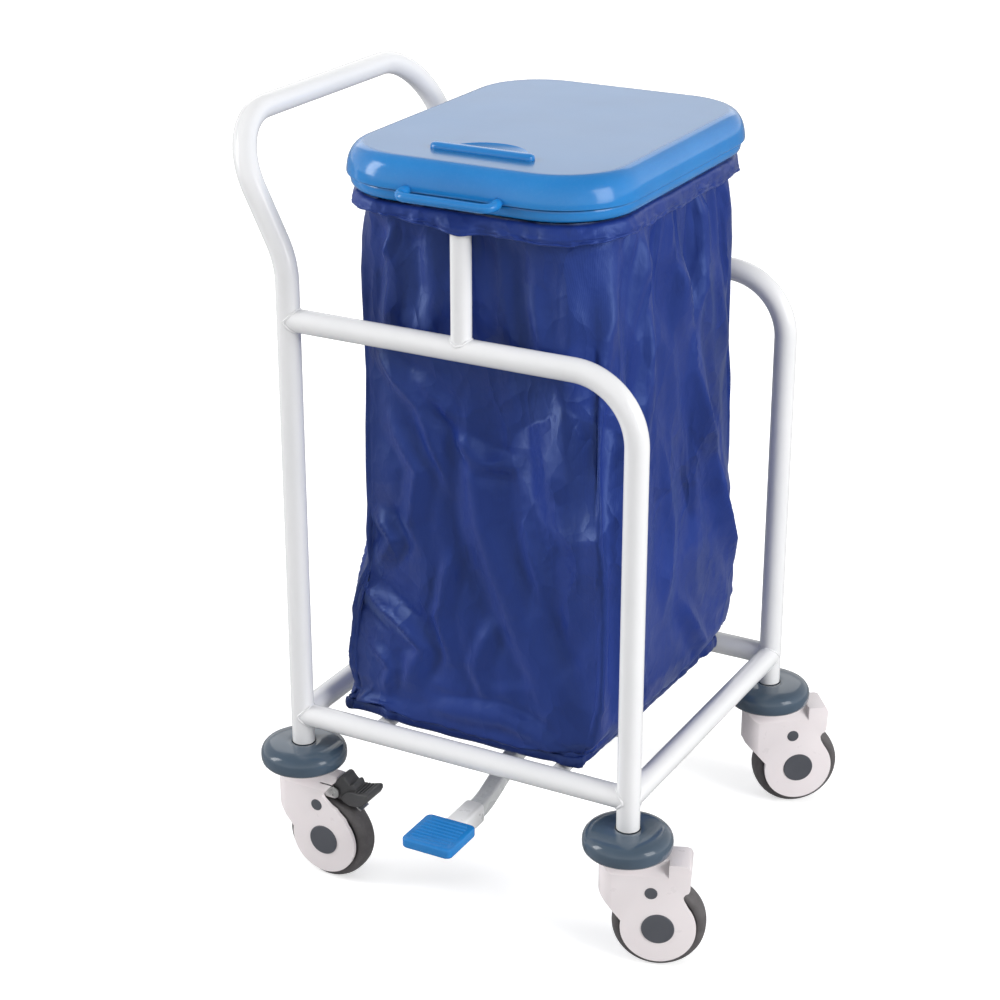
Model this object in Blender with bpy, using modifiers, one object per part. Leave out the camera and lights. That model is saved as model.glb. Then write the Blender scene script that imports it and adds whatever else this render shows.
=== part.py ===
"""Hospital linen trolley: a welded tube frame on four casters, a hanging bag and a pedal-operated lid.

Frame of the part: metres, +Z up, origin on the floor under the middle of the trolley's footprint.
+X points away from the push handle and -Y is the pedal side. The dimensions below are measured
from the centre of the four legs, which stands FOOTPRINT_Y behind the origin, as the pedal sticks out.
"""

import math

import bmesh
import bpy
from mathutils import Matrix, Vector

MM = 0.001
GAP = 0.3 * MM

FOOTPRINT_Y = 12.5 * MM

# Welded frame
SPAN_X = 400 * MM
SPAN_Y = 382 * MM
TUBE_R = 12.5 * MM
TUBE_WALL = 1.5 * MM
TUBE_RESOLUTION = 3
BASE_Z = 192 * MM
RAIL_Z = 650 * MM
HOOP_BEND_R = 70 * MM
HANDLE_KNEE_Z = 712 * MM
HANDLE_KNEE_R = 100 * MM
HANDLE_TOP_Z = 851 * MM
HANDLE_REACH = 69.5 * MM
HANDLE_CORNER_R = 75 * MM
LEG_X = SPAN_X / 2
LEG_Y = SPAN_Y / 2

# Bag supports and the upright posts in the middle of each side
CENTRE_X = 5 * MM
BAR_R = 8 * MM
BAR_X = 108 * MM
BAR_Z = 190 * MM
HOOP_ROD_R = 4 * MM
HOOP_Z = 784 * MM
POST_R = 10.8 * MM

# Lid and the ring it closes on, as a rounded rectangle and its insets
LID_HALF_X = 160 * MM
LID_HALF_Y = 204 * MM
LID_CORNER_R = 85 * MM
LID_LIP_Z = 808 * MM
LID_TOP_Z = 839 * MM
LID_WALL = 3 * MM
LOOP_ROD_R = 4 * MM
LOOP_REACH = 20 * MM
LOOP_HALF = 52 * MM
GRIP_Y = -147 * MM
GRIP_WIDE = 12 * MM
GRIP_RISE = 6 * MM
POST_INSET = LID_HALF_Y - LEG_Y

# Bag
BAG_WALL = 1.5 * MM
BAG_FLOOR_Z = 198.6 * MM
CUFF_Z = 774.5 * MM

# Lid hinge and lift
HINGE_Y = 238.6 * MM
HINGE_Z = 806 * MM
HINGE_PIN_R = 4 * MM
ROD_Y = 216 * MM
ROD_R = 4 * MM
CRANK_R = 28.5 * MM
LIFT_PIN_R = 3.8 * MM
CRANK_ANGLE = math.radians(37.5)
LIFT_PIN_Y = HINGE_Y - CRANK_R * math.cos(CRANK_ANGLE)
LIFT_PIN_Z = HINGE_Z - CRANK_R * math.sin(CRANK_ANGLE)
ARM_INNER_X = 9 * MM
ARM_THICK = 3 * MM
CHEEK_INNER_X = 15 * MM

# Pedal lever
PIVOT_Y = -20 * MM
PIVOT_Z = 172 * MM
SHAFT_R = 5 * MM
SHAFT_LENGTH = 236 * MM
SLEEVE_HALF_X = 30 * MM
LEVER_HALF = 9.5 * MM
LEVER_CORNER_R = 4 * MM
LEVER_WALL = 2 * MM
LEVER_FRONT_Z = 112 * MM
LEVER_MID_Z = 140 * MM
LEVER_REAR_Z = 137 * MM
PAD_SIDE = 60 * MM
PAD_THICK = 14 * MM
PAD_Y = -247 * MM
PAD_TOP_Z = 127.5 * MM
PAD_CORNER_R = 9 * MM
SOCKET_FRONT_Y = -216.5 * MM
SOCKET_BACK_Y = -168 * MM
SOCKET_HALF = 12 * MM
SOCKET_WALL = 1.7 * MM

# Casters
WHEEL_R = 50 * MM
WHEEL_CORE_R = 38 * MM
WHEEL_HALF = 14.5 * MM
TRAIL = 35 * MM
HOOD_HALF = 20 * MM
HOOD_DISC_R = 40 * MM
HOOD_TOP_Z = 120 * MM
HUB_CAP_R = 17.5 * MM
BUMPER_R = 48 * MM
BUMPER_TOP_Z = 158 * MM
BUMPER_BOTTOM_Z = 132.5 * MM
KINGPIN_R = 6 * MM
CUP_R = 30 * MM
BRAKE_T = 46 * MM
BRAKE_Z = 110 * MM
BRAKE_PIN_R = 2.5 * MM
BRAKE_PEDAL_WIDE = 23 * MM
BRAKE_BRACKET_WIDE = 29 * MM

# Corner name: place along X and Y, heading of the trailing wheel in degrees, whether it brakes
CASTERS = {
    "a": (-LEG_X, -LEG_Y, 0, True),
    "b": (LEG_X, -LEG_Y, 21, False),
    "c": (LEG_X, LEG_Y, 37, False),
    "d": (-LEG_X, LEG_Y, 8, True),
}


def clear_scene():
    for obj in list(bpy.data.objects):
        bpy.data.objects.remove(obj, do_unlink=True)


def new_collection(name):
    made = bpy.data.collections.new(name)
    bpy.context.scene.collection.children.link(made)
    return made


def new_material(name, color, roughness, metallic=0.0):
    made = bpy.data.materials.new(name)
    made.use_nodes = True
    shader = made.node_tree.nodes["Principled BSDF"]
    shader.inputs["Base Color"].default_value = (*color, 1.0)
    shader.inputs["Roughness"].default_value = roughness
    shader.inputs["Metallic"].default_value = metallic
    return made


def add_part(name, mesh, look):
    obj = bpy.data.objects.new(name, mesh)
    PARTS.objects.link(obj)
    mesh.materials.clear()
    mesh.materials.append(LOOKS[look])
    mesh.shade_smooth()
    mesh.set_sharp_from_angle(angle=math.radians(35))
    return obj


def as_cutter(obj):
    for holder in list(obj.users_collection):
        holder.objects.unlink(obj)
    CUTTERS.objects.link(obj)
    obj.hide_render = True
    obj.display_type = "WIRE"
    return obj


def combine(obj, other, operation="DIFFERENCE"):
    step = obj.modifiers.new(operation.title(), "BOOLEAN")
    step.operation = operation
    step.object = other
    return obj


def mesh_from_curve(curve_obj):
    """The evaluated mesh of a curve, with the seams of its caps welded. The curve is removed."""
    bpy.context.view_layer.update()
    graph = bpy.context.evaluated_depsgraph_get()
    mesh = bpy.data.meshes.new_from_object(curve_obj.evaluated_get(graph))
    mesh.transform(curve_obj.matrix_world)
    bpy.data.objects.remove(curve_obj)
    shape = bmesh.new()
    shape.from_mesh(mesh)
    bmesh.ops.remove_doubles(shape, verts=shape.verts, dist=0.001 * MM)
    bmesh.ops.recalc_face_normals(shape, faces=shape.faces)
    shape.to_mesh(mesh)
    shape.free()
    return mesh


def poly_curve(name, loops, dimensions, cyclic):
    data = bpy.data.curves.new(name, "CURVE")
    data.dimensions = dimensions
    for points in loops:
        spline = data.splines.new("POLY")
        spline.points.add(len(points) - 1)
        for slot, point in zip(spline.points, points):
            x, y, *z = point
            slot.co = (x, y, z[0] if z else 0.0, 1.0)
        spline.use_cyclic_u = cyclic
    obj = bpy.data.objects.new(name, data)
    bpy.context.scene.collection.objects.link(obj)
    return obj


def tube(name, points, look, radius=TUBE_R, wall=None, cyclic=False):
    """A round bar along the points, or a hollow tube open at both ends when it has a wall."""
    path = poly_curve(name, [points], "3D", cyclic)
    path.data.bevel_depth = radius
    path.data.bevel_resolution = TUBE_RESOLUTION
    path.data.use_fill_caps = wall is None and not cyclic
    obj = add_part(name, mesh_from_curve(path), look)
    if wall:
        shell = obj.modifiers.new("Wall", "SOLIDIFY")
        shell.thickness = wall
        shell.offset = -1
    return obj


def plate(name, loops, thickness, look, turn, place=(0, 0, 0)):
    """A flat outline with its holes, given a thickness centred on its own plane."""
    outline = poly_curve(name, loops, "2D", True)
    outline.data.fill_mode = "BOTH"
    outline.data.extrude = thickness / 2
    outline.matrix_world = Matrix.Translation(place) @ turn
    return add_part(name, mesh_from_curve(outline), look)


def cylinder(name, radius, depth, centre, axis="Z", sides=24):
    turn = {"X": (0, math.pi / 2, 0), "Y": (math.pi / 2, 0, 0), "Z": (0, 0, 0)}[axis]
    bpy.ops.mesh.primitive_cylinder_add(
        vertices=sides, radius=radius, depth=depth, location=centre, rotation=turn
    )
    obj = bpy.context.object
    obj.name = name
    return obj


def block(name, low, high):
    size = [b - a for a, b in zip(low, high)]
    centre = [(a + b) / 2 for a, b in zip(low, high)]
    bpy.ops.mesh.primitive_cube_add(size=1, location=centre)
    obj = bpy.context.object
    obj.name = name
    obj.data.transform(Matrix.Diagonal((*size, 1)))
    return obj


def turned(name, profile, steps, look, closed=False):
    """A profile of (radius, height) points, from its top down the outer side, turned about Z."""
    mesh = bpy.data.meshes.new(name)
    shape = bmesh.new()
    points = [shape.verts.new((radius, 0, height)) for radius, height in profile]
    for first, second in zip(points, points[1:]):
        shape.edges.new((first, second))
    if closed:
        shape.edges.new((points[-1], points[0]))
    shape.to_mesh(mesh)
    shape.free()
    obj = add_part(name, mesh, look)
    screw = obj.modifiers.new("Turn", "SCREW")
    screw.steps = steps
    screw.render_steps = steps
    screw.use_merge_vertices = True
    screw.merge_threshold = 0.001 * MM
    return obj


def arc(centre, radius, start, end, steps):
    """Points on a circle from start to end, in degrees."""
    angles = [math.radians(start + (end - start) * k / steps) for k in range(steps + 1)]
    return [(centre[0] + radius * math.cos(a), centre[1] + radius * math.sin(a)) for a in angles]


def in_mm(points):
    return [tuple(value * MM for value in point) for point in points]


def round_hole(centre, radius, sides=14):
    return arc(centre, radius, 0, 360 - 360 / sides, sides - 1)


def rounded_path(corners, radii, turn_step=15.0):
    """The polyline through the corners with every inner corner bent to its radius."""
    points = [Vector(corners[0])]
    for before, corner, after, radius in zip(corners, corners[1:], corners[2:], radii):
        corner = Vector(corner)
        back = (Vector(before) - corner).normalized()
        ahead = (Vector(after) - corner).normalized()
        bend = math.pi - back.angle(ahead)
        reach = radius * math.tan(bend / 2)
        centre = corner + (back + ahead).normalized() * (radius / math.cos(bend / 2))
        spoke = corner + back * reach - centre
        axis = spoke.cross(corner + ahead * reach - centre).normalized()
        steps = max(2, round(math.degrees(bend) / turn_step))
        for k in range(steps + 1):
            points.append(centre + Matrix.Rotation(bend * k / steps, 3, axis) @ spoke)
    points.append(Vector(corners[-1]))
    return points


def rounded_outline(half_x, half_y, radius, z, shift=CENTRE_X, steps=4, posts=0.0):
    """A rounded rectangle as a ring of points. The middle of its two X-long sides can bulge round a post."""
    points = []
    for sign_x, sign_y, start in ((1, 1, 0), (-1, 1, 90), (-1, -1, 180), (1, -1, 270)):
        middle = (shift + sign_x * (half_x - radius), sign_y * (half_y - radius))
        points += [(*point, z) for point in arc(middle, radius, start, start + 90, steps)]
        if start in (0, 180):
            for offset, share in ((24, 0), (15, 1), (-15, 1), (-24, 0)):
                x = shift + sign_x * offset * MM
                points.append((x, sign_y * (half_y + posts * share), z))
    return points


def inset_outline(inset, z, posts=0.0):
    """The lid's outline, moved inwards."""
    return rounded_outline(
        LID_HALF_X - inset, LID_HALF_Y - inset, LID_CORNER_R - inset, z, posts=posts
    )


def loft(name, rings, look, end_cap=False, round_section=False):
    """A surface through rings of equal count. It can be capped on its last ring, or close on its first."""
    mesh = bpy.data.meshes.new(name)
    shape = bmesh.new()
    made = [[shape.verts.new(point) for point in ring] for ring in rings]
    pairs = list(zip(made, made[1:]))
    if round_section:
        pairs.append((made[-1], made[0]))
    for lower, upper in pairs:
        for k in range(len(lower)):
            following = (k + 1) % len(lower)
            shape.faces.new((lower[k], lower[following], upper[following], upper[k]))
    if end_cap:
        shape.faces.new(made[-1])
    bmesh.ops.recalc_face_normals(shape, faces=shape.faces)
    shape.to_mesh(mesh)
    shape.free()
    return add_part(name, mesh, look)


# Turns a flat outline's own X and Y into world Y and Z
UPRIGHT_YZ = Matrix(((0, 0, 1, 0), (1, 0, 0, 0), (0, 1, 0, 0), (0, 0, 0, 1)))
# Turns a flat outline's own X and Y into world X and Z
UPRIGHT_XZ = Matrix(((1, 0, 0, 0), (0, 0, -1, 0), (0, 1, 0, 0), (0, 0, 0, 1)))
FLAT_XY = Matrix.Identity(4)


def cope_cutters():
    """Bars a little larger than the frame tubes, which notch the tubes that meet them."""
    loose = TUBE_R + GAP
    cutters = {}
    for corner, (x, y, _, _) in CASTERS.items():
        leg = cylinder("leg_cutter_" + corner, loose, 0.62, (x, y, 0.38))
        cutters["leg_" + corner] = as_cutter(leg)
    for side, y in (("front", -LEG_Y), ("back", LEG_Y)):
        base = cylinder("base_cutter_" + side, loose, 0.5, (0, y, BASE_Z), "X")
        rail = cylinder("rail_cutter_" + side, loose, 0.2, (0, y, RAIL_Z), "X")
        cutters["base_" + side] = as_cutter(base)
        cutters["rail_" + side] = as_cutter(rail)
    return cutters


def build_frame(cutters):
    foot = BUMPER_TOP_Z + GAP
    near = [(-LEG_X, -LEG_Y, foot), (-LEG_X, -LEG_Y, HANDLE_KNEE_Z)]
    near.append((-LEG_X - HANDLE_REACH, -LEG_Y, HANDLE_TOP_Z))
    corners = near + [(x, -y, z) for x, y, z in reversed(near)]
    bends = [HANDLE_KNEE_R, HANDLE_CORNER_R, HANDLE_CORNER_R, HANDLE_KNEE_R]
    tube("handle_frame", rounded_path(corners, bends), "enamel", wall=TUBE_WALL)

    for side, y, corner in (("front", -LEG_Y, "a"), ("back", LEG_Y, "d")):
        path = rounded_path(
            [(-LEG_X, y, RAIL_Z), (LEG_X, y, RAIL_Z), (LEG_X, y, foot)], [HOOP_BEND_R]
        )
        hoop = tube("side_hoop_" + side, path, "enamel", wall=TUBE_WALL)
        combine(hoop, cutters["leg_" + corner])

    for side, y, ends in (("front", -LEG_Y, "ab"), ("back", LEG_Y, "dc")):
        rail = tube(
            "base_rail_" + side, [(-LEG_X, y, BASE_Z), (LEG_X, y, BASE_Z)], "enamel", wall=TUBE_WALL
        )
        for corner in ends:
            combine(rail, cutters["leg_" + corner])

    for place, x, ends in (("handle_end", -LEG_X, "ad"), ("far_end", LEG_X, "bc")):
        rail = tube(
            "base_rail_" + place, [(x, -LEG_Y, BASE_Z), (x, LEG_Y, BASE_Z)], "enamel", wall=TUBE_WALL
        )
        for corner in ends:
            combine(rail, cutters["leg_" + corner])
        combine(rail, cutters["base_front"])
        combine(rail, cutters["base_back"])


def build_bag_supports(cutters):
    for place, x in (("handle_end", -BAR_X), ("far_end", BAR_X)):
        bar = tube(
            "bag_support_bar_" + place,
            [(x, -LEG_Y, BAR_Z), (x, LEG_Y, BAR_Z)],
            "enamel",
            radius=BAR_R,
            wall=TUBE_WALL,
        )
        combine(bar, cutters["base_front"])
        combine(bar, cutters["base_back"])
    for side, y in (("front", -LEG_Y), ("back", LEG_Y)):
        top = HOOP_Z - HOOP_ROD_R - GAP
        post = tube(
            "ring_post_" + side,
            [(CENTRE_X, y, RAIL_Z), (CENTRE_X, y, top)],
            "enamel",
            radius=POST_R,
            wall=TUBE_WALL,
        )
        combine(post, cutters["rail_" + side])
    tube(
        "bag_hoop",
        inset_outline(POST_INSET, HOOP_Z),
        "enamel",
        radius=HOOP_ROD_R,
        cyclic=True,
    )


def build_bag():
    """A bag hung inside the hoop, folded over it into a cuff. It is open at the top."""
    bulge = 6.5 * MM
    body = [
        (145, 168, 14, -9, BAG_FLOOR_Z),
        (154, 170, 20, 2, 285 * MM),
        (143, 168, 22, 8, 384 * MM),
        (141, 166, 28, 7, 560 * MM),
        (142, 172, 55, 5, 740 * MM),
        (138, 176, 66, 5, 781 * MM),
    ]
    rings = [
        rounded_outline(x * MM, y * MM, r * MM, z, shift=shift * MM)
        for x, y, r, shift, z in body
    ]
    rings.append(inset_outline(19.5 * MM, 786 * MM))
    rings.append(inset_outline(16 * MM, 790.5 * MM))
    rings.append(inset_outline(10 * MM, 790.5 * MM))
    rings.append(inset_outline(6.5 * MM, 784 * MM, posts=bulge / 2))
    rings.append(inset_outline(6.5 * MM, 779 * MM, posts=bulge))
    rings.append(inset_outline(6.5 * MM, CUFF_Z, posts=bulge))
    bag = loft("linen_bag", rings[::-1], "fabric", end_cap=True)
    wall = bag.modifiers.new("Wall", "SOLIDIFY")
    wall.thickness = BAG_WALL
    wall.offset = 0
    return bag


def build_lid():
    """The lid shell with its moulded pull loop, and the seat ring that it closes on."""
    steps = ((0, 0), (0, 6), (3, 18), (9, 27), (20, 31))
    rings = [inset_outline(inset * MM, LID_LIP_Z + rise * MM) for inset, rise in steps]
    lid = loft("lid", rings, "lid_plastic", end_cap=True)
    shell = lid.modifiers.new("Wall", "SOLIDIFY")
    shell.thickness = LID_WALL
    shell.offset = -1
    root = -LID_HALF_Y + 2.5 * MM
    tip = -LID_HALF_Y - LOOP_REACH
    z = LID_LIP_Z + 1.5 * MM
    corners = [
        (CENTRE_X - LOOP_HALF, root, z),
        (CENTRE_X - LOOP_HALF, tip, z),
        (CENTRE_X + LOOP_HALF, tip, z),
        (CENTRE_X + LOOP_HALF, root, z),
    ]
    bent = rounded_path(corners, [12 * MM] * 2, 22)
    loop = tube("pull_loop", bent, "lid_plastic", radius=LOOP_ROD_R)
    combine(lid, as_cutter(loop), "UNION")
    grip = block(
        "top_grip",
        (CENTRE_X - LOOP_HALF, GRIP_Y - GRIP_WIDE / 2, LID_TOP_Z - 1 * MM),
        (CENTRE_X + LOOP_HALF, GRIP_Y + GRIP_WIDE / 2, LID_TOP_Z + GRIP_RISE),
    )
    combine(lid, as_cutter(grip), "UNION")

    section = in_mm([(4, 806.7), (4, 801), (6.5, 796), (10, 794.3), (13, 794.3), (13, 803.7)])
    section += in_mm([(26, 803.7), (26, 806.7)])
    ring = [inset_outline(inset, z) for inset, z in section]
    loft("lid_seat_ring", ring, "lid_plastic", round_section=True)


def hinge_arm_outline():
    """One side of the lid's steel hinge arm: lid's back wall, hinge pin, then down to the lift pin."""
    back = LID_HALF_Y + 0.6 * MM
    rim = 8 * MM
    outline = [(back, 825 * MM), (back, 812 * MM)]
    outline.append((LIFT_PIN_Y - 6 * MM, LIFT_PIN_Z + 9 * MM))
    outline += arc((LIFT_PIN_Y, LIFT_PIN_Z), 6.5 * MM, 160, 300, 6)
    outline += arc((HINGE_Y, HINGE_Z), rim, -50, 100, 6)
    holes = [
        round_hole((HINGE_Y, HINGE_Z), HINGE_PIN_R + 0.4 * MM),
        round_hole((LIFT_PIN_Y, LIFT_PIN_Z), LIFT_PIN_R + 0.4 * MM),
    ]
    return [outline] + holes


def build_hinge():
    for side in (-1, 1):
        x = CENTRE_X + side * (ARM_INNER_X + ARM_THICK / 2)
        arm = plate("lid_hinge_arm", hinge_arm_outline(), ARM_THICK, "zinc", UPRIGHT_YZ, (x, 0, 0))
        if side < 0:
            first = as_cutter(arm)
            first.name = "hinge_arm_far_side"
    combine(arm, first, "UNION")
    wall = LID_HALF_Y + 0.4 * MM
    joiner = block(
        "hinge_arm_flange",
        (CENTRE_X - 13 * MM, wall, 812 * MM),
        (CENTRE_X + 13 * MM, wall + 3 * MM, 825.5 * MM),
    )
    combine(arm, as_cutter(joiner), "UNION")

    pin = cylinder("hinge_pin", HINGE_PIN_R, 44 * MM, (CENTRE_X, HINGE_Y, HINGE_Z), "X", 16)
    own_part(pin, "zinc")
    lift = cylinder("lid_lift_pin", LIFT_PIN_R, 26 * MM, (CENTRE_X, LIFT_PIN_Y, LIFT_PIN_Z), "X", 14)
    own_part(lift, "zinc")

    post_back = LEG_Y + POST_R + GAP
    outline = [(post_back, 708 * MM), (post_back, 756 * MM), (211 * MM, 764 * MM), (211 * MM, 778 * MM)]
    outline += arc((HINGE_Y, HINGE_Z), 9 * MM, 150, -30, 8)
    hole = round_hole((HINGE_Y, HINGE_Z), HINGE_PIN_R + 0.4 * MM)
    for side in (-1, 1):
        x = CENTRE_X + side * (CHEEK_INNER_X + ARM_THICK / 2)
        cheek = plate("hinge_bracket", [outline, hole], ARM_THICK, "enamel", UPRIGHT_YZ, (x, 0, 0))
        if side < 0:
            first = as_cutter(cheek)
            first.name = "hinge_bracket_far_cheek"
    combine(cheek, first, "UNION")
    reach = CHEEK_INNER_X + ARM_THICK - 0.5 * MM
    web = block(
        "hinge_bracket_web",
        (CENTRE_X - reach, post_back, 714 * MM),
        (CENTRE_X + reach, post_back + 3 * MM, 754 * MM),
    )
    combine(cheek, as_cutter(web), "UNION")


def own_part(obj, look):
    """Takes a primitive into the parts collection with its material."""
    for holder in list(obj.users_collection):
        holder.objects.unlink(obj)
    PARTS.objects.link(obj)
    obj.data.materials.append(LOOKS[look])
    obj.data.shade_smooth()
    obj.data.set_sharp_from_angle(angle=math.radians(35))
    return obj


def build_push_rod():
    bottom = LEVER_REAR_Z + LEVER_HALF + 0.5 * MM
    top = LIFT_PIN_Z - LIFT_PIN_R - 0.9 * MM
    pad = 8 * MM
    rod = cylinder(
        "push_rod",
        ROD_R,
        top - pad - bottom - 0.2 * MM,
        (CENTRE_X, ROD_Y, (top - pad - 0.2 * MM + bottom) / 2),
        sides=14,
    )
    own_part(rod, "zinc")
    cap = cylinder("push_rod_cap", 6.5 * MM, pad, (CENTRE_X, ROD_Y, top - pad / 2), sides=16)
    own_part(cap, "dark_plastic")
    front = LEG_Y + TUBE_R + GAP
    for name, z in (("rod_guide_upper", RAIL_Z), ("rod_guide_lower", BASE_Z)):
        outline = [(CENTRE_X - 9 * MM, front), (CENTRE_X + 9 * MM, front)]
        outline += arc((CENTRE_X, ROD_Y), 9 * MM, 0, 180, 8)
        hole = round_hole((CENTRE_X, ROD_Y), ROD_R + 0.5 * MM)
        plate(name, [outline, hole], 3 * MM, "enamel", FLAT_XY, (0, 0, z))


def lever_height(y):
    """Height of the lever's axis: level under the pad, a smooth rise, then a slight fall to the rear."""
    start = -165 * MM
    end = -60 * MM
    if y <= start:
        return LEVER_FRONT_Z
    if y < end:
        share = (y - start) / (end - start)
        return LEVER_FRONT_Z + (LEVER_MID_Z - LEVER_FRONT_Z) * share * share * (3 - 2 * share)
    return LEVER_MID_Z + (LEVER_REAR_Z - LEVER_MID_Z) * min(1.0, (y - end) / (160 * MM))


def lever_section(y, half, radius):
    """The lever's rounded square section where it passes y."""
    middle = lever_height(y)
    points = []
    for sign_x, sign_z, start in ((1, 1, 0), (-1, 1, 90), (-1, -1, 180), (1, -1, 270)):
        corner = (CENTRE_X + sign_x * (half - radius), middle + sign_z * (half - radius))
        points += [(x, y, z) for x, z in arc(corner, radius, start, start + 90, 2)]
    return points


def build_pedal():
    stations = [-245, -160, -140, -120, -100, -60, 100, 228]
    rings = [lever_section(y * MM, LEVER_HALF, LEVER_CORNER_R) for y in stations]
    lever = loft("pedal_lever", rings, "zinc")
    wall = lever.modifiers.new("Wall", "SOLIDIFY")
    wall.thickness = LEVER_WALL
    wall.offset = -1

    sleeve = tube(
        "lever_pivot_sleeve",
        [(CENTRE_X + side * SLEEVE_HALF_X, PIVOT_Y, PIVOT_Z) for side in (-1, 1)],
        "zinc",
        radius=9 * MM,
        wall=3.4 * MM,
    )
    outline = [(-34 * MM, 148 * MM), (-6 * MM, 148 * MM), (-12.5 * MM, 169 * MM), (-27.5 * MM, 169 * MM)]
    rib = plate("lever_rib", [outline], 6 * MM, "zinc", UPRIGHT_YZ, (CENTRE_X, 0, 0))
    combine(sleeve, as_cutter(rib), "UNION")
    loose = LEVER_HALF + GAP
    centre_z = lever_height(PIVOT_Y)
    notch = block(
        "lever_rib_notch",
        (CENTRE_X - loose, PIVOT_Y - 30 * MM, centre_z - loose),
        (CENTRE_X + loose, PIVOT_Y + 30 * MM, centre_z + loose + 0.5 * MM),
    )
    combine(sleeve, as_cutter(notch))
    bore = cylinder("lever_sleeve_bore", SHAFT_R + 0.6 * MM, 0.08, (CENTRE_X, PIVOT_Y, PIVOT_Z), "X", 24)
    combine(sleeve, as_cutter(bore))

    ends = (SOCKET_FRONT_Y, SOCKET_BACK_Y)
    rings = [lever_section(y, SOCKET_HALF, LEVER_CORNER_R + 2 * MM) for y in ends]
    socket = loft("pedal_socket", rings, "enamel")
    wall = socket.modifiers.new("Wall", "SOLIDIFY")
    wall.thickness = SOCKET_WALL
    wall.offset = -1
    pad_outline = rounded_outline(PAD_SIDE / 2, PAD_SIDE / 2, PAD_CORNER_R, 0, steps=3)
    pad_outline = [(x, y) for x, y, _ in pad_outline if abs(abs(x - CENTRE_X) - 15 * MM) > 0.1 * MM]
    pad_outline = [(x, y) for x, y in pad_outline if abs(abs(x - CENTRE_X) - 24 * MM) > 0.1 * MM]
    pad = plate(
        "pedal_pad",
        [pad_outline],
        PAD_THICK,
        "lid_plastic",
        FLAT_XY,
        (0, PAD_Y, PAD_TOP_Z - PAD_THICK / 2),
    )
    seat = block(
        "pad_seat",
        (CENTRE_X - loose, -246 * MM, LEVER_FRONT_Z - loose),
        (CENTRE_X + loose, PAD_Y + PAD_SIDE, LEVER_FRONT_Z + loose),
    )
    combine(pad, as_cutter(seat))


def build_lever_pivot():
    for place, x in (("handle_end", -BAR_X), ("far_end", BAR_X)):
        outline = [(PIVOT_Y - 13 * MM, 188 * MM), (PIVOT_Y - 13 * MM, 170 * MM)]
        outline += arc((PIVOT_Y, PIVOT_Z - 2 * MM), 10 * MM, 200, 340, 6)
        outline += [(PIVOT_Y + 13 * MM, 170 * MM), (PIVOT_Y + 13 * MM, 188 * MM)]
        hole = round_hole((PIVOT_Y, PIVOT_Z), SHAFT_R + 0.4 * MM)
        bracket = plate(
            "pivot_bracket_" + place, [outline, hole], 5 * MM, "enamel", UPRIGHT_YZ, (x, 0, 0)
        )
        saddle = cylinder("saddle_" + place, BAR_R + GAP, 0.1, (x, PIVOT_Y, BAR_Z), "Y", 24)
        combine(bracket, as_cutter(saddle))
    shaft = cylinder("pivot_shaft", SHAFT_R, SHAFT_LENGTH, (0, PIVOT_Y, PIVOT_Z), "X", 16)
    own_part(shaft, "zinc")


def hood_outline(braked):
    """Side view of a caster's hood, along the trailing direction and up."""
    outline = in_mm([(-30, 120), (-30, 88), (-19, 66)])
    outline += arc((TRAIL, WHEEL_R), HOOD_DISC_R, 180, 404, 13)
    if braked:
        outline += in_mm([(55, 91), (36, 107), (48, 120)])
    else:
        outline += in_mm([(61, 88), (68, 97), (69, 112), (63, 120)])
    return outline


def brake_outline():
    """Side view of a brake pedal: hub on its pin, shoe above the tyre, long tail and raised toe grip."""
    outline = arc((BRAKE_T, BRAKE_Z), 6.5 * MM, 90, 270, 5)
    outline += in_mm([(54, 100.5), (70, 99), (82, 102), (93, 110), (92, 117), (80, 113)])
    outline += in_mm([(71, 115), (67, 127), (61, 130), (56, 121)])
    return outline


def build_caster(corner, x, y, heading, braked):
    place = Matrix.Translation((x, y, 0)) @ Matrix.Rotation(math.radians(heading), 4, "Z")
    pieces = [build_hood(corner, braked)] + build_wheel(corner)
    if braked:
        pieces += build_brake(corner)
    for piece in pieces:
        for step in piece.modifiers:
            if step.type == "BOOLEAN":
                step.object.parent = piece
        piece.matrix_world = place @ piece.matrix_world
    build_kingpin(corner, x, y)


def build_kingpin(corner, x, y):
    r = BUMPER_R
    top = BUMPER_TOP_Z
    low = BUMPER_BOTTOM_Z
    hole = KINGPIN_R + 0.4 * MM
    profile = [(hole, top), (r - 13 * MM, top), (r - 2 * MM, top - 5 * MM)]
    profile += [(r, top - 10 * MM), (r, low + 6 * MM), (r - 4 * MM, low), (hole, low)]
    bumper = turned("bumper_" + corner, profile, 24, "bumper_plastic", closed=True)
    bumper.location = (x, y, 0)
    cup_top = low - GAP
    cup_bottom = HOOD_TOP_Z + 0.5 * MM
    profile = [(0, 194 * MM), (KINGPIN_R, 194 * MM), (KINGPIN_R, cup_top), (CUP_R, cup_top)]
    profile += [(CUP_R - 4 * MM, cup_bottom), (KINGPIN_R, cup_bottom)]
    profile += [(KINGPIN_R, 106 * MM), (0, 106 * MM)]
    pin = turned("kingpin_" + corner, profile, 16, "zinc")
    pin.location = (x, y, 0)


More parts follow.
